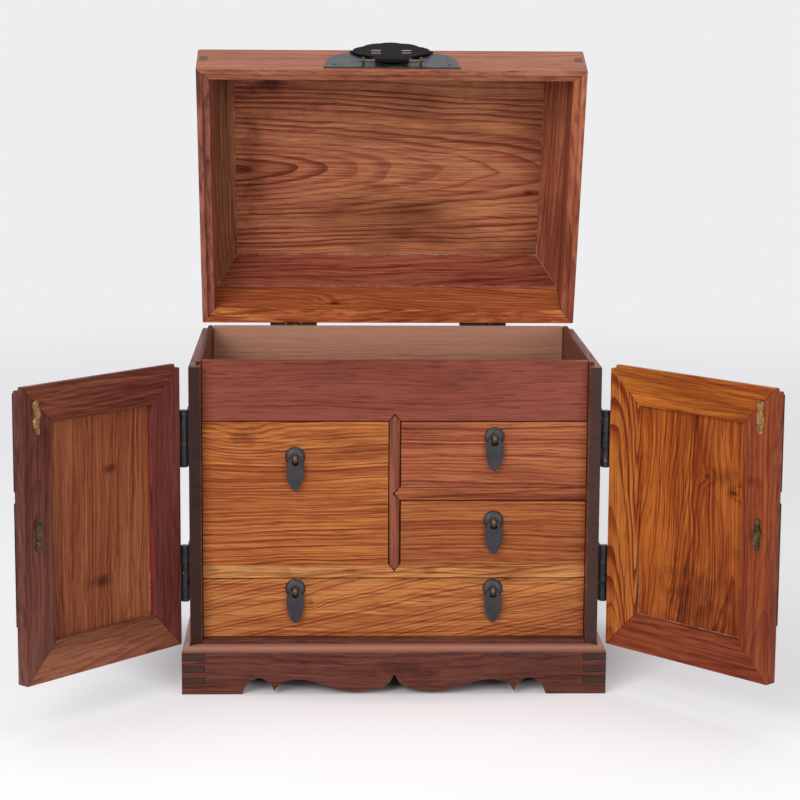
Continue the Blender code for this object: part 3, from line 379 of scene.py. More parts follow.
# Drawers
# Open boxes behind flush fronts, sawn from one honey-coloured plank, the grain running across.
# Each front keeps its own part of the plank, so the figure differs from drawer to drawer.
DRAWER_FRONT_T, SAW_CLEAR = 0.009, 0.0001
BOX_TONES = ("6e4630", "8e6248", "a87c60")
LEFT_KNOT = ((-0.131, DRAWER_FACE, 0.224), (0.013, 0.007), 1.5, 0.6)
BOTTOM_KNOT = ((-0.073, DRAWER_FACE, 0.076), (0.004, 0.004), 0.9, 0.7)
front_back = Vector((0, DRAWER_FACE + DRAWER_FRONT_T + SAW_CLEAR, 0))
for node, tones, pith, tilt, knots in (
    ("drawer_left", ("762e15", "a2562a", "c77f41"), (0.15, 0.05, -0.01), (0, 0.5, 2), [LEFT_KNOT]),
    ("drawer_right_upper", ("7e331f", "9f5638", "be7949"), (0.55, 0.03, 0.02), (0, 1, -2), ()),
    ("drawer_right_lower", ("7b341b", "97532c", "b56f3c"), (0.95, 0.02, 0.04), (0, 0.5, 1), ()),
    ("drawer_bottom", ("7e3317", "a75f32", "c8864a"), (1.35, 0.06, 0.02), (0, 12, 4), [BOTTOM_KNOT]),
):
    honey = oiled_rosewood(node + "_rosewood", tones, "X", pith, tilt, knots=knots, rings=300, lines=0.5)
    box_wood = oiled_rosewood(node + "_box_rosewood", BOX_TONES, "Y", pith, shine=0.6)
    dress(node, honey, BOARD_ARRIS, keep=[(front_back, Vector((0, 1, 0)))])
    dress(node, box_wood, BOX_ARRIS, node + "_box", [(front_back, Vector((0, -1, 0)))])

# Pulls
# Cast rosettes with radiating flutes, an eye of split brass wire through each, and a leaf-shaped iron drop.
# The iron is oiled to a dull charcoal, and the brass has gone brown.


def aged_metal(name, dark, light, rough=0.42, metal=0.85, rubbed_and_lit=None):
    """Old oiled metal, mottled over 6 mm patches; rubbed_and_lit gives the colour and share of bare places.
    """
    coat, tree, shader = fresh(name)
    place = add(tree, "ShaderNodeTexCoord")
    values = {"Scale": 160, "Detail": 4, "Roughness": 0.6}
    patch = add(tree, "ShaderNodeTexNoise", {"Vector": (place, "Object")}, values)
    ramp = add(tree, "ShaderNodeValToRGB", {"Fac": (patch, "Fac")})
    ramp.color_ramp.elements[0].position = 0.35
    ramp.color_ramp.elements[0].color = linear(dark)
    ramp.color_ramp.elements[1].position = 0.72
    ramp.color_ramp.elements[1].color = linear(light)
    colour = (ramp, "Color")
    if rubbed_and_lit:
        values = {"Scale": 120, "Detail": 5, "Roughness": 0.7}
        rub = add(tree, "ShaderNodeTexNoise", {"Vector": (place, "Object")}, values)
        values = {"From Min": 0.72 - rubbed_and_lit[1], "From Max": 0.78 - rubbed_and_lit[1], "To Max": 0.8}
        bare = add(tree, "ShaderNodeMapRange", {"Value": (rub, "Fac")}, values)
        worn = add(tree, "ShaderNodeMix", {"Factor": (bare, "Result"), "A": colour}, data_type="RGBA")
        worn.inputs["B"].default_value = linear(rubbed_and_lit[0])
        colour = (worn, "Result")
    tree.links.new(colour[0].outputs[colour[1]], shader.inputs["Base Color"])
    values = {"From Min": 0.3, "From Max": 0.7, "To Min": rough - 0.08, "To Max": rough + 0.1}
    gloss = add(tree, "ShaderNodeMapRange", {"Value": (patch, "Fac")}, values)
    tree.links.new(gloss.outputs["Result"], shader.inputs["Roughness"])
    # hammer marks 3 mm across
    values = {"Scale": 300, "Detail": 2, "Roughness": 0.5}
    hammer = add(tree, "ShaderNodeTexNoise", {"Vector": (place, "Object")}, values)
    values = {"Strength": 0.12, "Distance": 0.0003}
    relief = add(tree, "ShaderNodeBump", {"Height": (hammer, "Fac")}, values)
    tree.links.new(relief.outputs["Normal"], shader.inputs["Normal"])
    shader.inputs["Metallic"].default_value = metal
    return coat


rosette_iron = aged_metal("cast_iron_rosette", "2a2728", "403c3d", 0.5, 0.6)
flute_iron = aged_metal("rubbed_iron_flutes", "545052", "726d6e", 0.45, 0.7)
drop_iron = aged_metal("oiled_iron_drop", "2f2c30", "3e3c41", 0.5, 0.6)
eye_brass = aged_metal("dark_brass_eye", "483a2c", "6e5c44", 0.4, 0.7)

ROSETTE_R, ROSETTE_RISE, ROSETTE_EDGE = 0.0088, 0.0036, 0.0006
ROSETTE_ABOVE_EYE = 0.0012
FACE_GAP = 0.0003
FLUTE_COUNT, FLUTE_WIRE, FLUTE_SHARES = 22, 0.00036, (0.34, 0.58, 0.8)


def node_group(name, **inputs):
    """A geometry node group, its inputs by name, and the node that gives them."""
    group = bpy.data.node_groups.new(name, "GeometryNodeTree")
    face = group.interface
    sockets = {}
    for label, kind in inputs.items():
        sockets[label] = face.new_socket(label, in_out="INPUT", socket_type="NodeSocket" + kind)
    face.new_socket("Geometry", in_out="OUTPUT", socket_type="NodeSocketGeometry")
    return group, sockets, add(group, "NodeGroupInput")


def close_group(group, copies, finish):
    """The end of a node group: its instances made real, with their material."""
    real = add(group, "GeometryNodeRealizeInstances", {"Geometry": (copies, "Instances")})
    coated = add(group, "GeometryNodeSetMaterial", {"Geometry": (real, "Geometry")}, {"Material": finish})
    add(group, "NodeGroupOutput", {"Geometry": (coated, "Geometry")})


flutes, flute_inputs, given = node_group(
    "rosette_flutes", Count="Int", Inner="Vector", Shoulder="Vector", Rim="Vector", Wire="Float"
)
spine = add(
    flutes,
    "GeometryNodeCurveQuadraticBezier",
    {"Start": (given, "Inner"), "Middle": (given, "Shoulder"), "End": (given, "Rim")},
    {"Resolution": 6},
)
wire = add(flutes, "GeometryNodeCurvePrimitiveCircle", {"Radius": (given, "Wire")}, {"Resolution": 6})
ridge = add(
    flutes,
    "GeometryNodeCurveToMesh",
    {"Curve": (spine, "Curve"), "Profile Curve": (wire, "Curve")},
    {"Fill Caps": True},
)
spots = add(flutes, "GeometryNodePoints", {"Count": (given, "Count")})
number = add(flutes, "GeometryNodeInputIndex")
share = add(flutes, "ShaderNodeMath", {0: (number, "Index"), 1: (given, "Count")}, operation="DIVIDE")
angle = add(flutes, "ShaderNodeMath", {0: (share, "Value")}, {1: 2 * math.pi}, operation="MULTIPLY")
spin = add(flutes, "ShaderNodeCombineXYZ", {"Z": (angle, "Value")})
round_it = add(
    flutes,
    "GeometryNodeInstanceOnPoints",
    {"Points": (spots, "Points"), "Instance": (ridge, "Mesh"), "Rotation": (spin, "Vector")},
)
close_group(flutes, round_it, flute_iron)


def settle(mesh, name, body):
    """A finished mesh as an object of its own on a body."""
    piece = linked(name, mesh)
    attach(piece, body)
    return piece


def evaluated(data, name, modify=None):
    """The mesh that a datablock gives, after modify has set up its holder."""
    holder = linked(name + "_maker", data)
    if modify:
        modify(holder)
    bpy.context.view_layer.update()
    made = bpy.data.meshes.new_from_object(holder.evaluated_get(bpy.context.evaluated_depsgraph_get()))
    bpy.data.objects.remove(holder)
    return made


def grow(tree, sockets, values, carrier, name):
    """The mesh that a geometry tree makes on a carrier mesh."""

    def set_up(holder):
        maker = holder.modifiers.new("maker", "NODES")
        maker.node_group = tree
        for label, value in values.items():
            maker[sockets[label].identifier] = value

    return evaluated(carrier, name, set_up)


def stand_at(made, places, name):
    """One mesh with a copy of another at each place."""
    shape = bmesh.new()
    for place in places:
        before = len(shape.verts)
        shape.from_mesh(made)
        shape.verts.ensure_lookup_table()
        bmesh.ops.transform(shape, matrix=place, verts=shape.verts[before:])
    bmesh.ops.recalc_face_normals(shape, faces=shape.faces)
    return as_mesh(shape, name, made.materials)


def on_dome(share):
    """A point of the rosette's dome, at a share of the way from its top to its rim, in its own frame."""
    turn = math.pi / 2 * share
    height = ROSETTE_EDGE + (ROSETTE_RISE - ROSETTE_EDGE) * math.cos(turn)
    return Vector((ROSETTE_R * math.sin(turn), 0, height))


inner, middle, rim = (on_dome(share) for share in FLUTE_SHARES)
bow = 2 * middle - (inner + rim) / 2
flute_values = {"Count": FLUTE_COUNT, "Inner": inner, "Shoulder": bow, "Rim": rim, "Wire": FLUTE_WIRE}
flute_ring = grow(flutes, flute_inputs, flute_values, bpy.data.meshes.new("flute_seed"), "flute_ring")

# the drop, with its eye at the origin: a round head, straight shoulders and an ogive down to a blunt tip
DROP_T, DROP_HALF_W, DROP_HEAD_HALF = 0.0014, 0.0077, 0.0056
DROP_TOP, DROP_SHOULDER, DROP_BROAD, DROP_LENGTH = 0.00135, 0.0050, 0.0095, 0.0283
DROP_BLUNT, DROP_EDGE = 0.58, 0.0003
HEAD_STEPS, SIDE_STEPS, HOLE_STEPS = 6, 15, 20
HOLE_HALF_W, HOLE_TOP, HOLE_BOTTOM = 0.0030, -0.00135, -0.0060
half = []
for step in range(HEAD_STEPS + 1):
    turn = math.pi / 2 * step / HEAD_STEPS
    half.append((DROP_HEAD_HALF * math.sin(turn), DROP_TOP - 2 * DROP_TOP * (1 - math.cos(turn))))
for step in range(SIDE_STEPS + 1):
    down = DROP_SHOULDER + (DROP_LENGTH - DROP_SHOULDER) * math.sin(math.pi / 2 * step / SIDE_STEPS)
    off = (down - DROP_BROAD) / (DROP_LENGTH - DROP_BROAD)
    half.append((DROP_HALF_W * (1 - off**2) ** DROP_BLUNT, -down))
leaf = half + [(-x, z) for x, z in reversed(half[1:-1])]
hole = []
middle_z, half_h = (HOLE_TOP + HOLE_BOTTOM) / 2, (HOLE_TOP - HOLE_BOTTOM) / 2
for step in range(HOLE_STEPS):
    turn = 2 * math.pi * step / HOLE_STEPS
    hole.append((HOLE_HALF_W * math.cos(turn), middle_z + half_h * math.sin(turn)))
drop_curve = bpy.data.curves.new("leaf_drop", "CURVE")
drop_curve.dimensions = "2D"
drop_curve.fill_mode = "BOTH"
drop_curve.extrude = DROP_T / 2 - DROP_EDGE
drop_curve.bevel_depth = DROP_EDGE
drop_curve.bevel_resolution = 1
drop_curve.offset = -DROP_EDGE
for points in (leaf, hole):
    spline = drop_curve.splines.new("POLY")
    spline.points.add(len(points) - 1)
    for point, (x, z) in zip(spline.points, points):
        point.co = (x, z, 0, 1)
    spline.use_cyclic_u = True
drop_curve.materials.append(drop_iron)
drop_shape = evaluated(drop_curve, "leaf_drop")

EYE_BREADTH = 1.7
toward_front = Matrix.Rotation(math.pi / 2, 4, "X")
eye_cut = Vector((0, DRAWER_FACE - FACE_GAP - ROSETTE_RISE - SAW_CLEAR, 0))
for drawer, names in (
    ("drawer_left", ("left",)),
    ("drawer_right_upper", ("right_upper",)),
    ("drawer_right_lower", ("right_lower",)),
    ("drawer_bottom", ("bottom_left", "bottom_right")),
):
    stands = []
    for name in names:
        eye = joint_at["drop_" + name]
        rosette = "pull_rosette_" + name
        dress(rosette, rosette_iron, SHEET_ARRIS, keep=[(eye_cut, Vector((0, -1, 0)))])
        ring = dress(
            rosette, eye_brass, SHEET_ARRIS, "pull_eye_" + name, [(eye_cut, Vector((0, 1, 0)))]
        )
        for vertex in ring.data.vertices:
            vertex.co.x = eye.x + EYE_BREADTH * (vertex.co.x - eye.x)
        drop_mesh = stand_at(drop_shape, [Matrix.Translation(eye) @ toward_front], "pull_drop_" + name)
        drop = settle(drop_mesh, "pull_drop_" + name + "_finished", "drop_" + name)
        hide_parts("pull_drop_" + name)
        middle_at = Vector((eye.x, DRAWER_FACE - FACE_GAP, eye.z + ROSETTE_ABOVE_EYE))
        stands.append(Matrix.Translation(middle_at) @ toward_front)
    settle(stand_at(flute_ring, stands, drawer + "_flutes"), drawer + "_rosette_flutes", drawer)

# Doors
# Mitred frames with grooved edges round a floating panel. The left door is darker than the right.
# Stiles and panels run upright, rails across.
DOOR_OPEN = 131.5
MITRE_ARRIS, DOOR_ARRIS, MITRE_SKEW = 0.00012, 0.0007, 0.2
opened = {"case": Matrix()}
for side, door in ((-1, "door_left"), (1, "door_right")):
    hinge = joint_at[door]
    swing = Matrix.Rotation(math.radians(side * DOOR_OPEN), 4, "Z")
    opened[door] = Matrix.Translation(hinge) @ swing @ Matrix.Translation(-hinge)


def mitred(pose, arris):
    """Easing for a board that meets others in tight mitres, which run askew to the chest's axes."""
    shut_pose = pose.inverted()

    def width(a, b):
        run = shut_pose @ b - shut_pose @ a
        return MITRE_ARRIS if sorted(abs(c) for c in run)[1] > MITRE_SKEW * run.length else arris

    return width


LEFT_KNOTS = (
    ((-0.0999, -0.1, 0.2097), (0.010, 0.005), 0.8, 0.75),
    ((-0.0897, -0.1, 0.1144), (0.019, 0.006), 0.8, 0.85),
)
RIGHT_KNOTS = (
    ((0.0737, -0.1, 0.2075), (0.0045, 0.003), 0.9, 0.95),
    ((0.0453, -0.1, 0.197), (0.006, 0.0035), 1.0, 0.95),
    ((0.06, -0.1, 0.208), (0.022, 0.012), 0, 0.5),
    ((0.085, -0.1, 0.095), (0.05, 0.045), 0, 0.6),
)
STILE_KNOTS = (
    ((0.02, -0.1, 0.212), (0.012, 0.007), 0, 0.55),
    ((0.016, -0.1, 0.168), (0.01, 0.006), 0, 0.45),
)
mottled = {"lines": 0.2, "streak": 1.0, "cloud": 1.2}
knotty = {"knots": STILE_KNOTS, **mottled}
arched = {"lines": 0.9, "rings": 330}
left_panel = {"knots": LEFT_KNOTS, "lines": 0.2, "streak": 0.7, "fibre": 1.7}
right_panel = {"knots": RIGHT_KNOTS, "rings": 300, "wander": 0.022}
right_panel.update({"streak": 0.7, "fibre": 1.8, "cloud": 1.3})
STAIN_TONES, WALL_FACING, WALL_AREA = ("681c20", "82282c", "8e3a3a"), 0.6, 0.0002
for side, part, tones, grain, pith, tilt, figure in (
    ("left", "hinge_stile", ("52231e", "643029", "78403a"), "Z", (0.2, 0.05, -0.16), (0, 1, 2), {}),
    ("left", "meeting_stile", ("4e2620", "66382f", "7a4a3e"), "Z", (0.5, 0.09, 0.02), (0, 9, 5), mottled),
    ("left", "top_rail", ("54241e", "6f392d", "91553b"), "X", (0.6, 0.12, -0.2), (0, 8, 4), mottled),
    ("left", "bottom_rail", ("6e3a28", "884f38", "a0674c"), "X", (0.6, 0.12, -0.03), (0, -6, 4), {}),
    ("left", "panel", ("622d1a", "85462d", "a2653f"), "Z", (0.9, 0.2, 0.2), (0, 1, 1), left_panel),
    ("right", "hinge_stile", ("712d14", "9c4d21", "c47834"), "Z", (0.2, 0.11, 0.18), (0, 2, 7), arched),
    ("right", "meeting_stile", ("672716", "8a4024", "a55b30"), "Z", (0.7, 0.1, 0.02), (0, 8, 5), knotty),
    ("right", "top_rail", ("8b4019", "b66023", "d68435"), "X", (0.4, 0.12, -0.22), (0, 6, 4), {}),
    ("right", "bottom_rail", ("612416", "7c341d", "974d2d"), "X", (0.9, 0.13, -0.02), (0, -4, 3), {}),
    ("right", "panel", ("5b1f0c", "883a14", "bd692a"), "Z", (0.9, 0.12, 0.06), (0, 2, 6), right_panel),
):
    door = "door_" + side
    pose = opened[door]
    wood = oiled_rosewood(door + "_" + part + "_rosewood", tones, grain, pith, tilt, pose, **figure)
    piece = dress(door + "_" + part, wood, DOOR_ARRIS, widths=mitred(pose, DOOR_ARRIS))
    if (door, part) == ("door_left", "hinge_stile"):
        # red stain has stayed on the wall of the recess
        red_stain = oiled_rosewood("red_stained_rosewood", STAIN_TONES, "Z", pose=pose)
        piece.data.materials.append(red_stain)
        inward = pose.to_3x3() @ Vector((1, 0, 0))
        for face in piece.data.polygons:
            if face.normal.dot(inward) > WALL_FACING and face.area > WALL_AREA:
                face.material_index = 1

# Door plates and split pins
# Half of a lock plate and half of a round plate on each door, sheet iron nailed on outside.
# Brass split pins come through the doors, with an eye in front and two flat legs spread on the inside.
PLATE_BACK, PLATE_FRONT, HAIR = -0.1084, -0.1094, 0.00005
PIN_X, LEG_FROM, LEG_SPREAD, LEG_CUTS = 0.0142, -0.0968, 0.5, 4
LEG_RAGGED, LEG_CHIPS, LEG_SEED = 0.0022, 260, Vector((0, 0, 84))
dark_iron = aged_metal("oiled_sheet_iron", "262526", "3c3a3e", 0.42)
pin_brass = {
    "_upper_plate": aged_metal("tan_brass_pin", "8a6236", "c49a62", 0.5, 0.5, ("6a4426", 0.2)),
    "_lower_plate": aged_metal("dull_brass_pin", "3a3020", "7c6842", 0.5, 0.6, ("2e2418", 0.22)),
}
for door in ("door_left", "door_right"):
    open_door = opened[door]
    ahead = open_door.to_3x3() @ Vector((0, -1, 0))
    behind_plate = open_door @ Vector((0, PLATE_BACK + HAIR, 0))
    before_plate = open_door @ Vector((0, PLATE_FRONT - HAIR, 0))
    for plate, brass in pin_brass.items():
        node = door + plate
        dress(node, dark_iron, SHEET_ARRIS, keep=[(before_plate, ahead), (behind_plate, -ahead)])
        dress(node, brass, FORGED_ARRIS, node + "_eye", [(before_plate, -ahead)])
        legs = dress(node, brass, FORGED_ARRIS, node + "_split_pin", [(behind_plate, ahead)])
        ragged = bmesh.new()
        ragged.from_mesh(legs.data)
        bmesh.ops.subdivide_edges(ragged, edges=ragged.edges, cuts=LEG_CUTS, use_grid_fill=True)
        for vertex in ragged.verts:
            shut_place = open_door.inverted() @ vertex.co
            if shut_place.y > LEG_FROM:
                rough = noise.noise(vertex.co * LEG_CHIPS + LEG_SEED)
                outward = shut_place.x - math.copysign(PIN_X, shut_place.x)
                shut_place.x += LEG_RAGGED * rough + LEG_SPREAD * outward
                shut_place.z += LEG_RAGGED * rough / 2
                vertex.co = open_door @ shut_place
        ragged.to_mesh(legs.data)
        ragged.free()

# Door hinges
# Iron butt hinges, one leaf on the side of the case and one on the edge of the door.
# They are rubbed brassy in places, most of all the upper right one.
hinge_iron = aged_metal("rubbed_hinge_iron", "232425", "3a3b3e", 0.4, 0.85, ("9c7b45", 0.1))
brassy_iron = aged_metal("brassy_hinge_iron", "232425", "3a3b3e", 0.4, 0.85, ("a08048", 0.15))
for node in frame["nodes"]:
    if node.startswith("door") and "_hinge_" in node and "stile" not in node:
        iron = brassy_iron if "right" in node and "upper" in node else hinge_iron
        dress(node, iron, FORGED_ARRIS)

# Lid
# Four straight walls, four sloping boards and a flat top. Walls and slopes are separate boards that
# meet at a mitre, so each solid is parted there. The rear wall is golden, the rear slope dark red.
LID_OPEN = 69.5
WALL_RISE, SLOPE_FOOT, WALL_T, LID_RIM = 0.0485, 0.0548, 0.012, 0.2883
PART_GAP = 0.00008
LID_HALF, LID_FRONT, LID_BACK = 0.179, -0.1081, 0.1532
lid_axis = joint_at["lid"]
tip_back = Matrix.Rotation(-math.radians(LID_OPEN), 4, "X")
opened["lid"] = Matrix.Translation(lid_axis) @ tip_back @ Matrix.Translation(-lid_axis)
REAR_KNOT = ((-0.051, 0.141, 0.306), (0.009, 0.006), 1.6, 0.9)
# dark patches on the lid's top: the first, third and fourth are painted shade along the front and left
# walls, the other two are small dark spots
TOP_SPOTS_AND_SHADE = (
    ((-0.113, -0.058, 0), (0.034, 0.010), 0, 0.9),
    ((-0.007, 0.05, 0), (0.02, 0.008), 0, 0.5),
    ((-0.132, 0.025, 0), (0.014, 0.08), 0, 0.5),
    ((0, -0.062, 0), (0.25, 0.06), 0, 0.32),
    ((0.137, 0.055, 0), (0.007, 0.003), 0, 0.7),
)
rear_figure = {"knots": [REAR_KNOT]}
top_figure = {"lines": 0.7, "streak": 0.35, "fibre": 1.7, "cloud": 1.3, "smudge": 0.8}
top_figure.update({"face": "Z", "knots": TOP_SPOTS_AND_SHADE})
LID_ENDS = "6e4c42"
lid_woods = {}
for key, tones, grain, pith, tilt, figure in (
    ("front_wall", ("874730", "a26148", "b7775b"), "X", (0.3, 0.03, 0.2), (0, 2, 2), {}),
    ("front_slope", ("6e3a2c", "87503e", "9a6450"), "X", (0.8, 0.05, 0.25), (0, 4, 2), {}),
    ("rear_wall", ("944628", "bf673d", "e59e5b"), "X", (0.2, 0.03, -0.15), (0, -9, 2), rear_figure),
    ("rear_slope", ("722f23", "904837", "ad664a"), "X", (0.6, 0.03, 0.3), (0, 3, 1), {}),
    ("left_wall", ("794336", "a56553", "c18067"), "Y", (0.4, 0.03, 0.28), (0, 3, 2), {}),
    ("left_slope", ("714534", "98634b", "b9835e"), "Y", (0.9, 0.05, 0.3), (0, 3, 2), {}),
    ("right_wall", ("82412e", "a65c44", "c47c5a"), "Y", (0.5, 0.03, 0.28), (0, 3, 2), {}),
    ("right_slope", ("854531", "aa6248", "cc8561"), "Y", (0.7, 0.05, 0.3), (0, 3, 2), {}),
    ("top", ("7b3f2c", "ab6148", "d49064"), "X", (0.1, -0.031, -0.346), (0, -6, 0), top_figure),
):
    lid_woods[key] = oiled_rosewood(
        "lid_" + key + "_rosewood", tones, grain, pith, tilt, opened["lid"], ends=LID_ENDS, **figure
    )
tight = mitred(opened["lid"], SLIM_ARRIS)
for node, outer, inward, sort in (
    ("lid_front", Vector((0, LID_FRONT, LID_RIM)), Vector((0, 1, 0)), "front"),
    ("lid_back", Vector((0, LID_BACK, LID_RIM)), Vector((0, -1, 0)), "rear"),
    ("lid_left", Vector((-LID_HALF, 0, LID_RIM)), Vector((1, 0, 0)), "left"),
    ("lid_right", Vector((LID_HALF, 0, LID_RIM)), Vector((-1, 0, 0)), "right"),
):
    foot = outer + Vector((0, 0, WALL_RISE))
    along_joint = inward * WALL_T + Vector((0, 0, SLOPE_FOOT - WALL_RISE))
    upward = Vector((0, 0, 1)) - along_joint * (along_joint.z / along_joint.length_squared)
    upward.normalize()
    turned = opened["lid"].to_3x3() @ upward
    low_side = opened["lid"] @ (foot - upward * PART_GAP)
    high_side = opened["lid"] @ (foot + upward * PART_GAP)
    dress(node, lid_woods[sort + "_wall"], SLIM_ARRIS, node + "_wall", [(low_side, turned)], tight)
    dress(node, lid_woods[sort + "_slope"], SLIM_ARRIS, node + "_slope", [(high_side, -turned)], tight)
dress("lid_top", lid_woods["top"], SLIM_ARRIS, widths=tight)

# Old wax
# Pale wax and dust that have gathered in the corners of the lid and the doors, where no cloth reaches.
WAX_R = 0.0006
ROOM_TOP, TOP_IN = 0.0865, 0.0305


def room_corners(rise, inset):
    """The corners of the room inside the lid at one height, with the chest shut."""
    x, front, back = LID_HALF - inset, LID_FRONT + inset, LID_BACK - inset
    plan = ((-x, front), (x, front), (x, back), (-x, back))
    return [Vector((across, y, LID_RIM + rise)) for across, y in plan]


old_wax, wax_tree, wax_shader = fresh("old_wax_and_dust")
wax_place = add(wax_tree, "ShaderNodeTexCoord")
wax_values = {"Scale": 90, "Detail": 4, "Roughness": 0.7}
wax_noise = add(wax_tree, "ShaderNodeTexNoise", {"Vector": (wax_place, "Object")}, wax_values)
wax_ramp = add(wax_tree, "ShaderNodeValToRGB", {"Fac": (wax_noise, "Fac")})
wax_ramp.color_ramp.elements[0].position = 0.42
wax_ramp.color_ramp.elements[0].color = linear("7a4a38")
wax_ramp.color_ramp.elements[1].position = 0.62
wax_ramp.color_ramp.elements[1].color = linear("a88a78")
wax_tree.links.new(wax_ramp.outputs["Color"], wax_shader.inputs["Base Color"])
wax_shader.inputs["Roughness"].default_value = 0.8


def wax_lines(body, runs):
    """Thin lines of wax on a body, each between two points of the shut chest."""
    name = body + "_wax_lines"
    curve = bpy.data.curves.new(name, "CURVE")
    curve.dimensions = "3D"
    curve.bevel_depth = WAX_R
    curve.bevel_resolution = 1
    curve.use_fill_caps = True
    curve.materials.append(old_wax)
    for ends in runs:
        spline = curve.splines.new("POLY")
        spline.points.add(1)
        for point, end in zip(spline.points, ends):
            point.co = (opened[body] @ end).to_4d()
    settle(stand_at(evaluated(curve, name), [Matrix()], name), name, body)


low, high = room_corners(SLOPE_FOOT, WALL_T), room_corners(ROOM_TOP, TOP_IN)
top_edges = [(high[i], high[(i + 1) % 4]) for i in range(4)]
wax_lines("lid", [(low[2], low[3])] + top_edges + list(zip(low, high)))


def shut_span(node, pose):
    """A board's lowest and highest corners with the chest shut."""
    spots = [pose.inverted() @ vertex.co for vertex in frame["nodes"][node].data.vertices]
    return [Vector([pick(spot[i] for spot in spots) for i in range(3)]) for pick in (min, max)]


# each run's ends as shares of the way from the meeting stile to the hinge stile, and up the panel
LEFT_RUNS = (((0, 0), (0.03, 0)), ((0.9, 0), (1, 0)), ((1, 0), (1, 0.2)), ((0, 0), (0, 0.06)))
RIGHT_RUNS = (((0, 0), (1, 0)), ((1, 0), (1, 0.35)), ((0, 0), (0, 0.1)))
for door, side, runs in (("door_left", -1, LEFT_RUNS), ("door_right", 1, RIGHT_RUNS)):
    pose = opened[door]
    face_y = shut_span(door + "_panel", pose)[1].y
    from_x = side * max(abs(c.x) for c in shut_span(door + "_meeting_stile", pose))
    to_x = side * min(abs(c.x) for c in shut_span(door + "_hinge_stile", pose))
    from_z = shut_span(door + "_bottom_rail", pose)[1].z
    to_z = shut_span(door + "_top_rail", pose)[0].z
    corner, reach = Vector((from_x, face_y, from_z)), Vector((to_x - from_x, 0, to_z - from_z))
    spans = [[corner + Vector((x * reach.x, 0, z * reach.z)) for x, z in run] for run in runs]
    wax_lines(door, spans)

# Lock plate, hasp and lid hinges
# A broad sheet-iron plate on the lid's front, brass eyes that hold a rod, and a lobed hasp on the rod.
# The plate is rubbed grey, the hasp is nearly black.
plate_iron = aged_metal("rubbed_sheet_iron", "424346", "5c5d60", 0.45)
hasp_iron = aged_metal("black_sheet_iron", "0c090a", "171314", 0.75, 0.0)
hasp_iron.node_tree.nodes["Principled BSDF"].inputs["Specular IOR Level"].default_value = 0.1
rod_brass = aged_metal("dark_brass_rod", "4a3c28", "7a6648", 0.4, 0.8)
lid_ahead = opened["lid"].to_3x3() @ Vector((0, -1, 0))
before_plate = opened["lid"] @ Vector((0, PLATE_FRONT - HAIR, 0))
dress("lid_lock_plate", plate_iron, SHEET_ARRIS, keep=[(before_plate, lid_ahead)])
eyes = "lid_lock_plate_eyes"
dress("lid_lock_plate", rod_brass, FORGED_ARRIS, eyes, [(before_plate, -lid_ahead)])
hasp = dress("hasp", hasp_iron, SHEET_ARRIS)
# its slots are filed tall, and its sheet is filed thin towards them
HASP_OPEN, SLOT_BELOW, SLOT_HALF, SLOT_X = 185.5, 0.028, 0.0056, (0.009, 0.0195)
SLOT_TALLER, SLOT_THINNER = 1.4, 0.5
hang_axis = opened["lid"].inverted() @ joint_at["hasp"]
fold_back = Matrix.Translation(hang_axis) @ Matrix.Rotation(-math.radians(HASP_OPEN), 4, "X")
folded = opened["lid"] @ fold_back
for vertex in hasp.data.vertices:
    hung = folded.inverted() @ vertex.co
    if SLOT_X[0] < abs(hung.x) < SLOT_X[1] and abs(hung.z + SLOT_BELOW) < SLOT_HALF:
        hung.z = SLOT_TALLER * (hung.z + SLOT_BELOW) - SLOT_BELOW
        hung.y *= SLOT_THINNER
        vertex.co = folded @ hung
for node in frame["nodes"]:
    if node.startswith("lid_hinge"):
        dress(node, hinge_iron, FORGED_ARRIS)

# Nails
# Small domed iron nails that hold the plates and the hinge leaves.
NAIL_R, NAIL_RISE = 0.0013, 0.0006
nail_iron = aged_metal("iron_nails", "2a282a", "48464a", 0.4)
nails, nail_inputs, given = node_group("nail_heads", Heads="Geometry", Radius="Float", Rise="Float")
ball = add(nails, "GeometryNodeMeshUVSphere", (), {"Segments": 10, "Rings": 6, "Radius": 1})
way = add(nails, "GeometryNodeInputNamedAttribute", (), {"Name": "facing"}, data_type="FLOAT_VECTOR")
aim = add(nails, "FunctionNodeAlignRotationToVector", {"Vector": (way, "Attribute")}, axis="Z")
flatten = add(
    nails, "ShaderNodeCombineXYZ", {"X": (given, "Radius"), "Y": (given, "Radius"), "Z": (given, "Rise")}
)
driven = add(
    nails,
    "GeometryNodeInstanceOnPoints",
    {
        "Points": (given, "Heads"),
        "Instance": (ball, "Mesh"),
        "Rotation": (aim, "Rotation"),
        "Scale": (flatten, "Vector"),
    },
)
close_group(nails, driven, nail_iron)

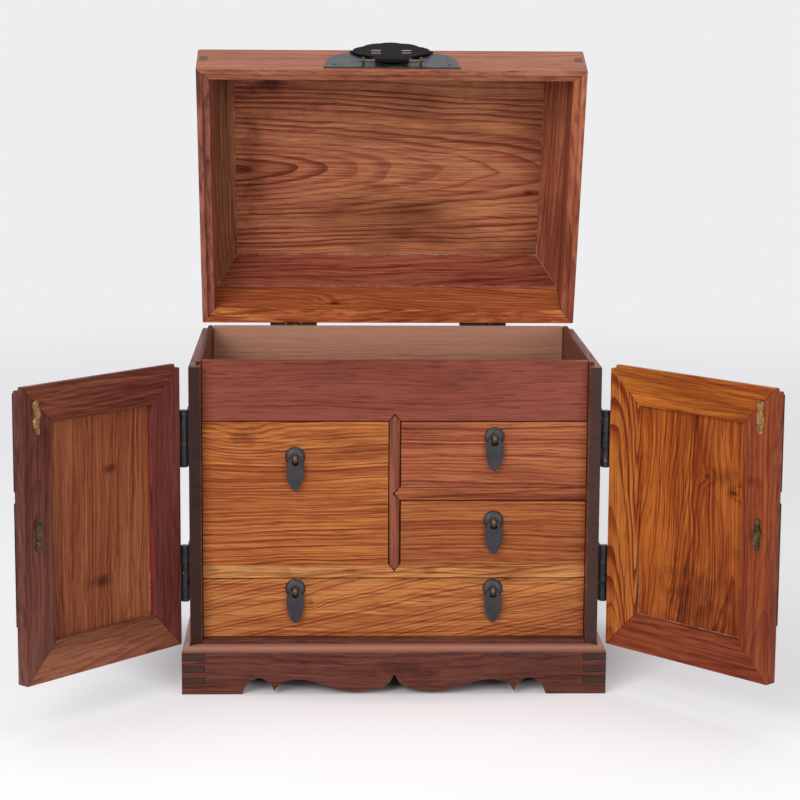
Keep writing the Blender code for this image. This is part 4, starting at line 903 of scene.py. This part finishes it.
heads = {"case": [], "lid": [], "door_left": [], "door_right": []}
front_way, back_way = Vector((0, -1, 0)), Vector((0, 1, 0))
LID_HINGE_X, LID_LEAF_Y, LID_NAIL_DX, LID_NAIL_DZ = 0.0914, 0.1547, 0.016, 0.015
SIDE_LEAF_X, SIDE_NAIL_DZ, CASE_NAIL_Y, DOOR_NAIL_Y = 0.1805, 0.0185, (-0.0885, -0.0805), -0.1035
LOCK_NAIL = (0.053, 0.010)
PLATE_NAILS = (
    (0.054, 0.279),
    (0.052, 0.232),
    (0.006, 0.211),
    (0.006, 0.188),
    (0.044, 0.143),
    (0.006, 0.098),
)
hinge_boxes = [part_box("door_left_hinge_" + spot) for spot in ("upper", "lower")]
hinge_z = [sum(corner.z for corner in box) / 2 for box in hinge_boxes]
for side, door in ((-1, "door_left"), (1, "door_right")):
    lock_nail = Vector((side * LOCK_NAIL[0], PLATE_FRONT, LID_RIM + LOCK_NAIL[1]))
    heads["lid"].append((lock_nail, front_way))
    out = Vector((side, 0, 0))
    for z in hinge_z:
        for dz in (-SIDE_NAIL_DZ, SIDE_NAIL_DZ):
            for y in CASE_NAIL_Y:
                heads["case"].append((Vector((side * SIDE_LEAF_X, y, z + dz)), out))
            heads[door].append((Vector((side * SIDE_LEAF_X, DOOR_NAIL_Y, z + dz)), out))
    for dx in (-LID_NAIL_DX, LID_NAIL_DX):
        x = side * LID_HINGE_X + dx
        heads["case"].append((Vector((x, LID_LEAF_Y, lid_axis.z - LID_NAIL_DZ)), back_way))
        heads["lid"].append((Vector((x, LID_LEAF_Y, lid_axis.z + LID_NAIL_DZ)), back_way))
    for x, z in PLATE_NAILS:
        heads[door].append((Vector((side * x, PLATE_FRONT, z)), front_way))
for body, spots in heads.items():
    carrier = bpy.data.meshes.new(body + "_nail_spots")
    carrier.from_pydata([opened[body] @ spot for spot, facing in spots], [], [])
    ways = carrier.attributes.new("facing", "FLOAT_VECTOR", "POINT")
    for i, (spot, facing) in enumerate(spots):
        ways.data[i].vector = opened[body].to_3x3() @ facing
    made = grow(nails, nail_inputs, {"Radius": NAIL_R, "Rise": NAIL_RISE}, carrier, body + "_nails")
    settle(stand_at(made, [Matrix()], body + "_nails"), body + "_nails", body)

# Finger ends
# The ends of the lid's side walls come through its front as fingers, small squares of end grain.
FINGER_IN, FINGER_W, FINGER_LOW, FINGER_HIGH = 0.0026, 0.0072, 0.021, 0.032
FINGER_PROUD, FINGER_DEPTH = 0.00006, 0.0006
finger_wood = oiled_rosewood(
    "finger_end_rosewood",
    ("5a3024", "74442f", "8a5844"),
    "Y",
    (0.4, 0.03, 0.28),
    pose=opened["lid"],
    ends="6a4236",
)
fingers = bmesh.new()
for side in (-1, 1):
    edge = LID_HALF - FINGER_IN
    outer = Vector((side * edge, LID_FRONT - FINGER_PROUD, LID_RIM + FINGER_LOW))
    inner = Vector((side * (edge - FINGER_W), LID_FRONT + FINGER_DEPTH, LID_RIM + FINGER_HIGH))
    cube = bmesh.ops.create_cube(fingers, size=1)["verts"]
    bmesh.ops.scale(fingers, vec=[abs(c) for c in outer - inner], verts=cube)
    bmesh.ops.translate(fingers, vec=(outer + inner) / 2, verts=cube)
    bmesh.ops.transform(fingers, matrix=opened["lid"], verts=cube)
finger_mesh = as_mesh(fingers, "lid_finger_ends", [finger_wood])
settle(finger_mesh, "lid_finger_ends", "lid")

# Studio
# A pale floor that runs out into a pale room, a large soft lamp at the front left, a weak fill at the right
# and a broad glow from above.
ROOM_WHITE, ROOM_LIGHT, FLOOR_LIFT = "eeeef0", 0.34, 0.27
FLOOR_R, FADE_FROM, FADE_TO = 6.0, 0.8, 2.6
SHADOW_PATCH_MIDDLE, SHADOW_PATCH_SPREAD, SHADOW_PATCH_EDGE = (0, -0.22, 0), (4.8, 7.2, 1), (0.9, 1.3)


def seen_white(tree):
    """1 for what the camera sees, directly, mirrored or through glass, and 0 for the light on the object."""
    ray = add(tree, "ShaderNodeLightPath")
    seen = (ray, "Is Camera Ray")
    for kind in ("Is Glossy Ray", "Is Transmission Ray"):
        seen = (add(tree, "ShaderNodeMath", {0: seen, 1: (ray, kind)}, operation="MAXIMUM"), "Value")
    return seen


disc = bmesh.new()
bmesh.ops.create_circle(disc, cap_ends=True, radius=FLOOR_R, segments=96)
pale_floor = linked("pale_floor", as_mesh(disc, "pale_floor"))
# matt paper that goes over into the white of the room, so that no edge shows
paper, paper_tree, paper_shader = fresh("white_paper")
paper_place = add(paper_tree, "ShaderNodeTexCoord")
away = add(paper_tree, "ShaderNodeVectorMath", {0: (paper_place, "Object")}, operation="LENGTH")
links, values = {"Value": (away, "Value")}, {"From Min": FADE_FROM, "From Max": FADE_TO}
fade = add(paper_tree, "ShaderNodeMapRange", links, values, interpolation_type="SMOOTHSTEP")
tint = add(paper_tree, "ShaderNodeMix", {"Factor": (fade, "Result")}, data_type="RGBA")
tint.inputs["A"].default_value = linear(ROOM_WHITE)
tint.inputs["B"].default_value = linear("000000")
paper_tree.links.new(tint.outputs["Result"], paper_shader.inputs["Base Color"])
# under the chest and a little around it nothing lifts the paper, so that its shadow stays; the unlifted
# patch is also a painted shadow
values = {"Location": SHADOW_PATCH_MIDDLE, "Scale": SHADOW_PATCH_SPREAD}
shadow_patch = add(paper_tree, "ShaderNodeMapping", {"Vector": (paper_place, "Object")}, values)
edge = add(paper_tree, "ShaderNodeVectorMath", {0: (shadow_patch, "Vector")}, operation="LENGTH")
values = {"From Min": SHADOW_PATCH_EDGE[0], "From Max": SHADOW_PATCH_EDGE[1], "To Max": FLOOR_LIFT}
open_floor = add(paper_tree, "ShaderNodeMapRange", {"Value": (edge, "Value")}, values)
links = {"Value": (fade, "Result"), "To Min": (open_floor, "Result")}
glow = add(paper_tree, "ShaderNodeMapRange", links, {"To Max": 1})
links = {0: seen_white(paper_tree), 1: (glow, "Result")}
lift = add(paper_tree, "ShaderNodeMath", links, operation="MULTIPLY")
paper_tree.links.new(lift.outputs["Value"], paper_shader.inputs["Emission Strength"])
paper_shader.inputs["Emission Color"].default_value = linear(ROOM_WHITE)
paper_shader.inputs["Roughness"].default_value = 0.9
paper_shader.inputs["Specular IOR Level"].default_value = 0
pale_floor.data.materials.append(paper)

for name, spot, target, power, breadth in (
    ("soft_key", (-1.3, -2.4, 1.5), (0, 0.0, 0.25), 47, 1.6),
    ("weak_fill", (1.2, -2.4, 0.6), (0, 0.0, 0.3), 18, 1.2),
    ("top_glow", (0.0, 0.3, 2.6), (0, 0.1, 0.2), 24, 2.2),
):
    lamp = bpy.data.lights.new(name, "AREA")
    lamp.energy = power
    lamp.size = breadth
    stand = linked(name, lamp)
    stand.location = spot
    stand.rotation_euler = (Vector(target) - Vector(spot)).to_track_quat("-Z", "Y").to_euler()
world = bpy.data.worlds.new("pale_room")
world.use_nodes = True
world_tree = world.node_tree
values = {"To Min": ROOM_LIGHT, "To Max": 1}
level = add(world_tree, "ShaderNodeMapRange", {"Value": seen_white(world_tree)}, values)
world_tree.links.new(level.outputs["Result"], world_tree.nodes["Background"].inputs["Strength"])
world_tree.nodes["Background"].inputs["Color"].default_value = linear(ROOM_WHITE)
bpy.context.scene.world = world

# Camera
# Level with the lid's top edge and a little left of the middle, looking slightly down, as in the photograph.
CAMERA_PLACE = (-0.0613, -2.1475, 0.5992)
CAMERA_PITCH, CAMERA_YAW, CAMERA_ROLL = 9.41, 1.82, -0.36
FOCUS_PX, PICTURE_PX, SENSOR_MM = 2403.0, 800, 36
lens = bpy.data.cameras.new("camera")
lens.sensor_width = SENSOR_MM
lens.lens = FOCUS_PX / PICTURE_PX * SENSOR_MM
eye = linked("camera", lens)
pitch, yaw, roll = (math.radians(a) for a in (CAMERA_PITCH, CAMERA_YAW, CAMERA_ROLL))
ahead = Vector((math.sin(yaw) * math.cos(pitch), math.cos(yaw) * math.cos(pitch), -math.sin(pitch)))
right = Vector((math.cos(yaw), -math.sin(yaw), 0))
down = ahead.cross(right)
level_right = math.cos(roll) * right + math.sin(roll) * down
level_up = -(-math.sin(roll) * right + math.cos(roll) * down)
eye.matrix_world = (
    Matrix.Translation(CAMERA_PLACE) @ Matrix((level_right, level_up, -ahead)).transposed().to_4x4()
)
bpy.context.scene.camera = eye
bpy.context.scene.view_settings.view_transform = "Standard"
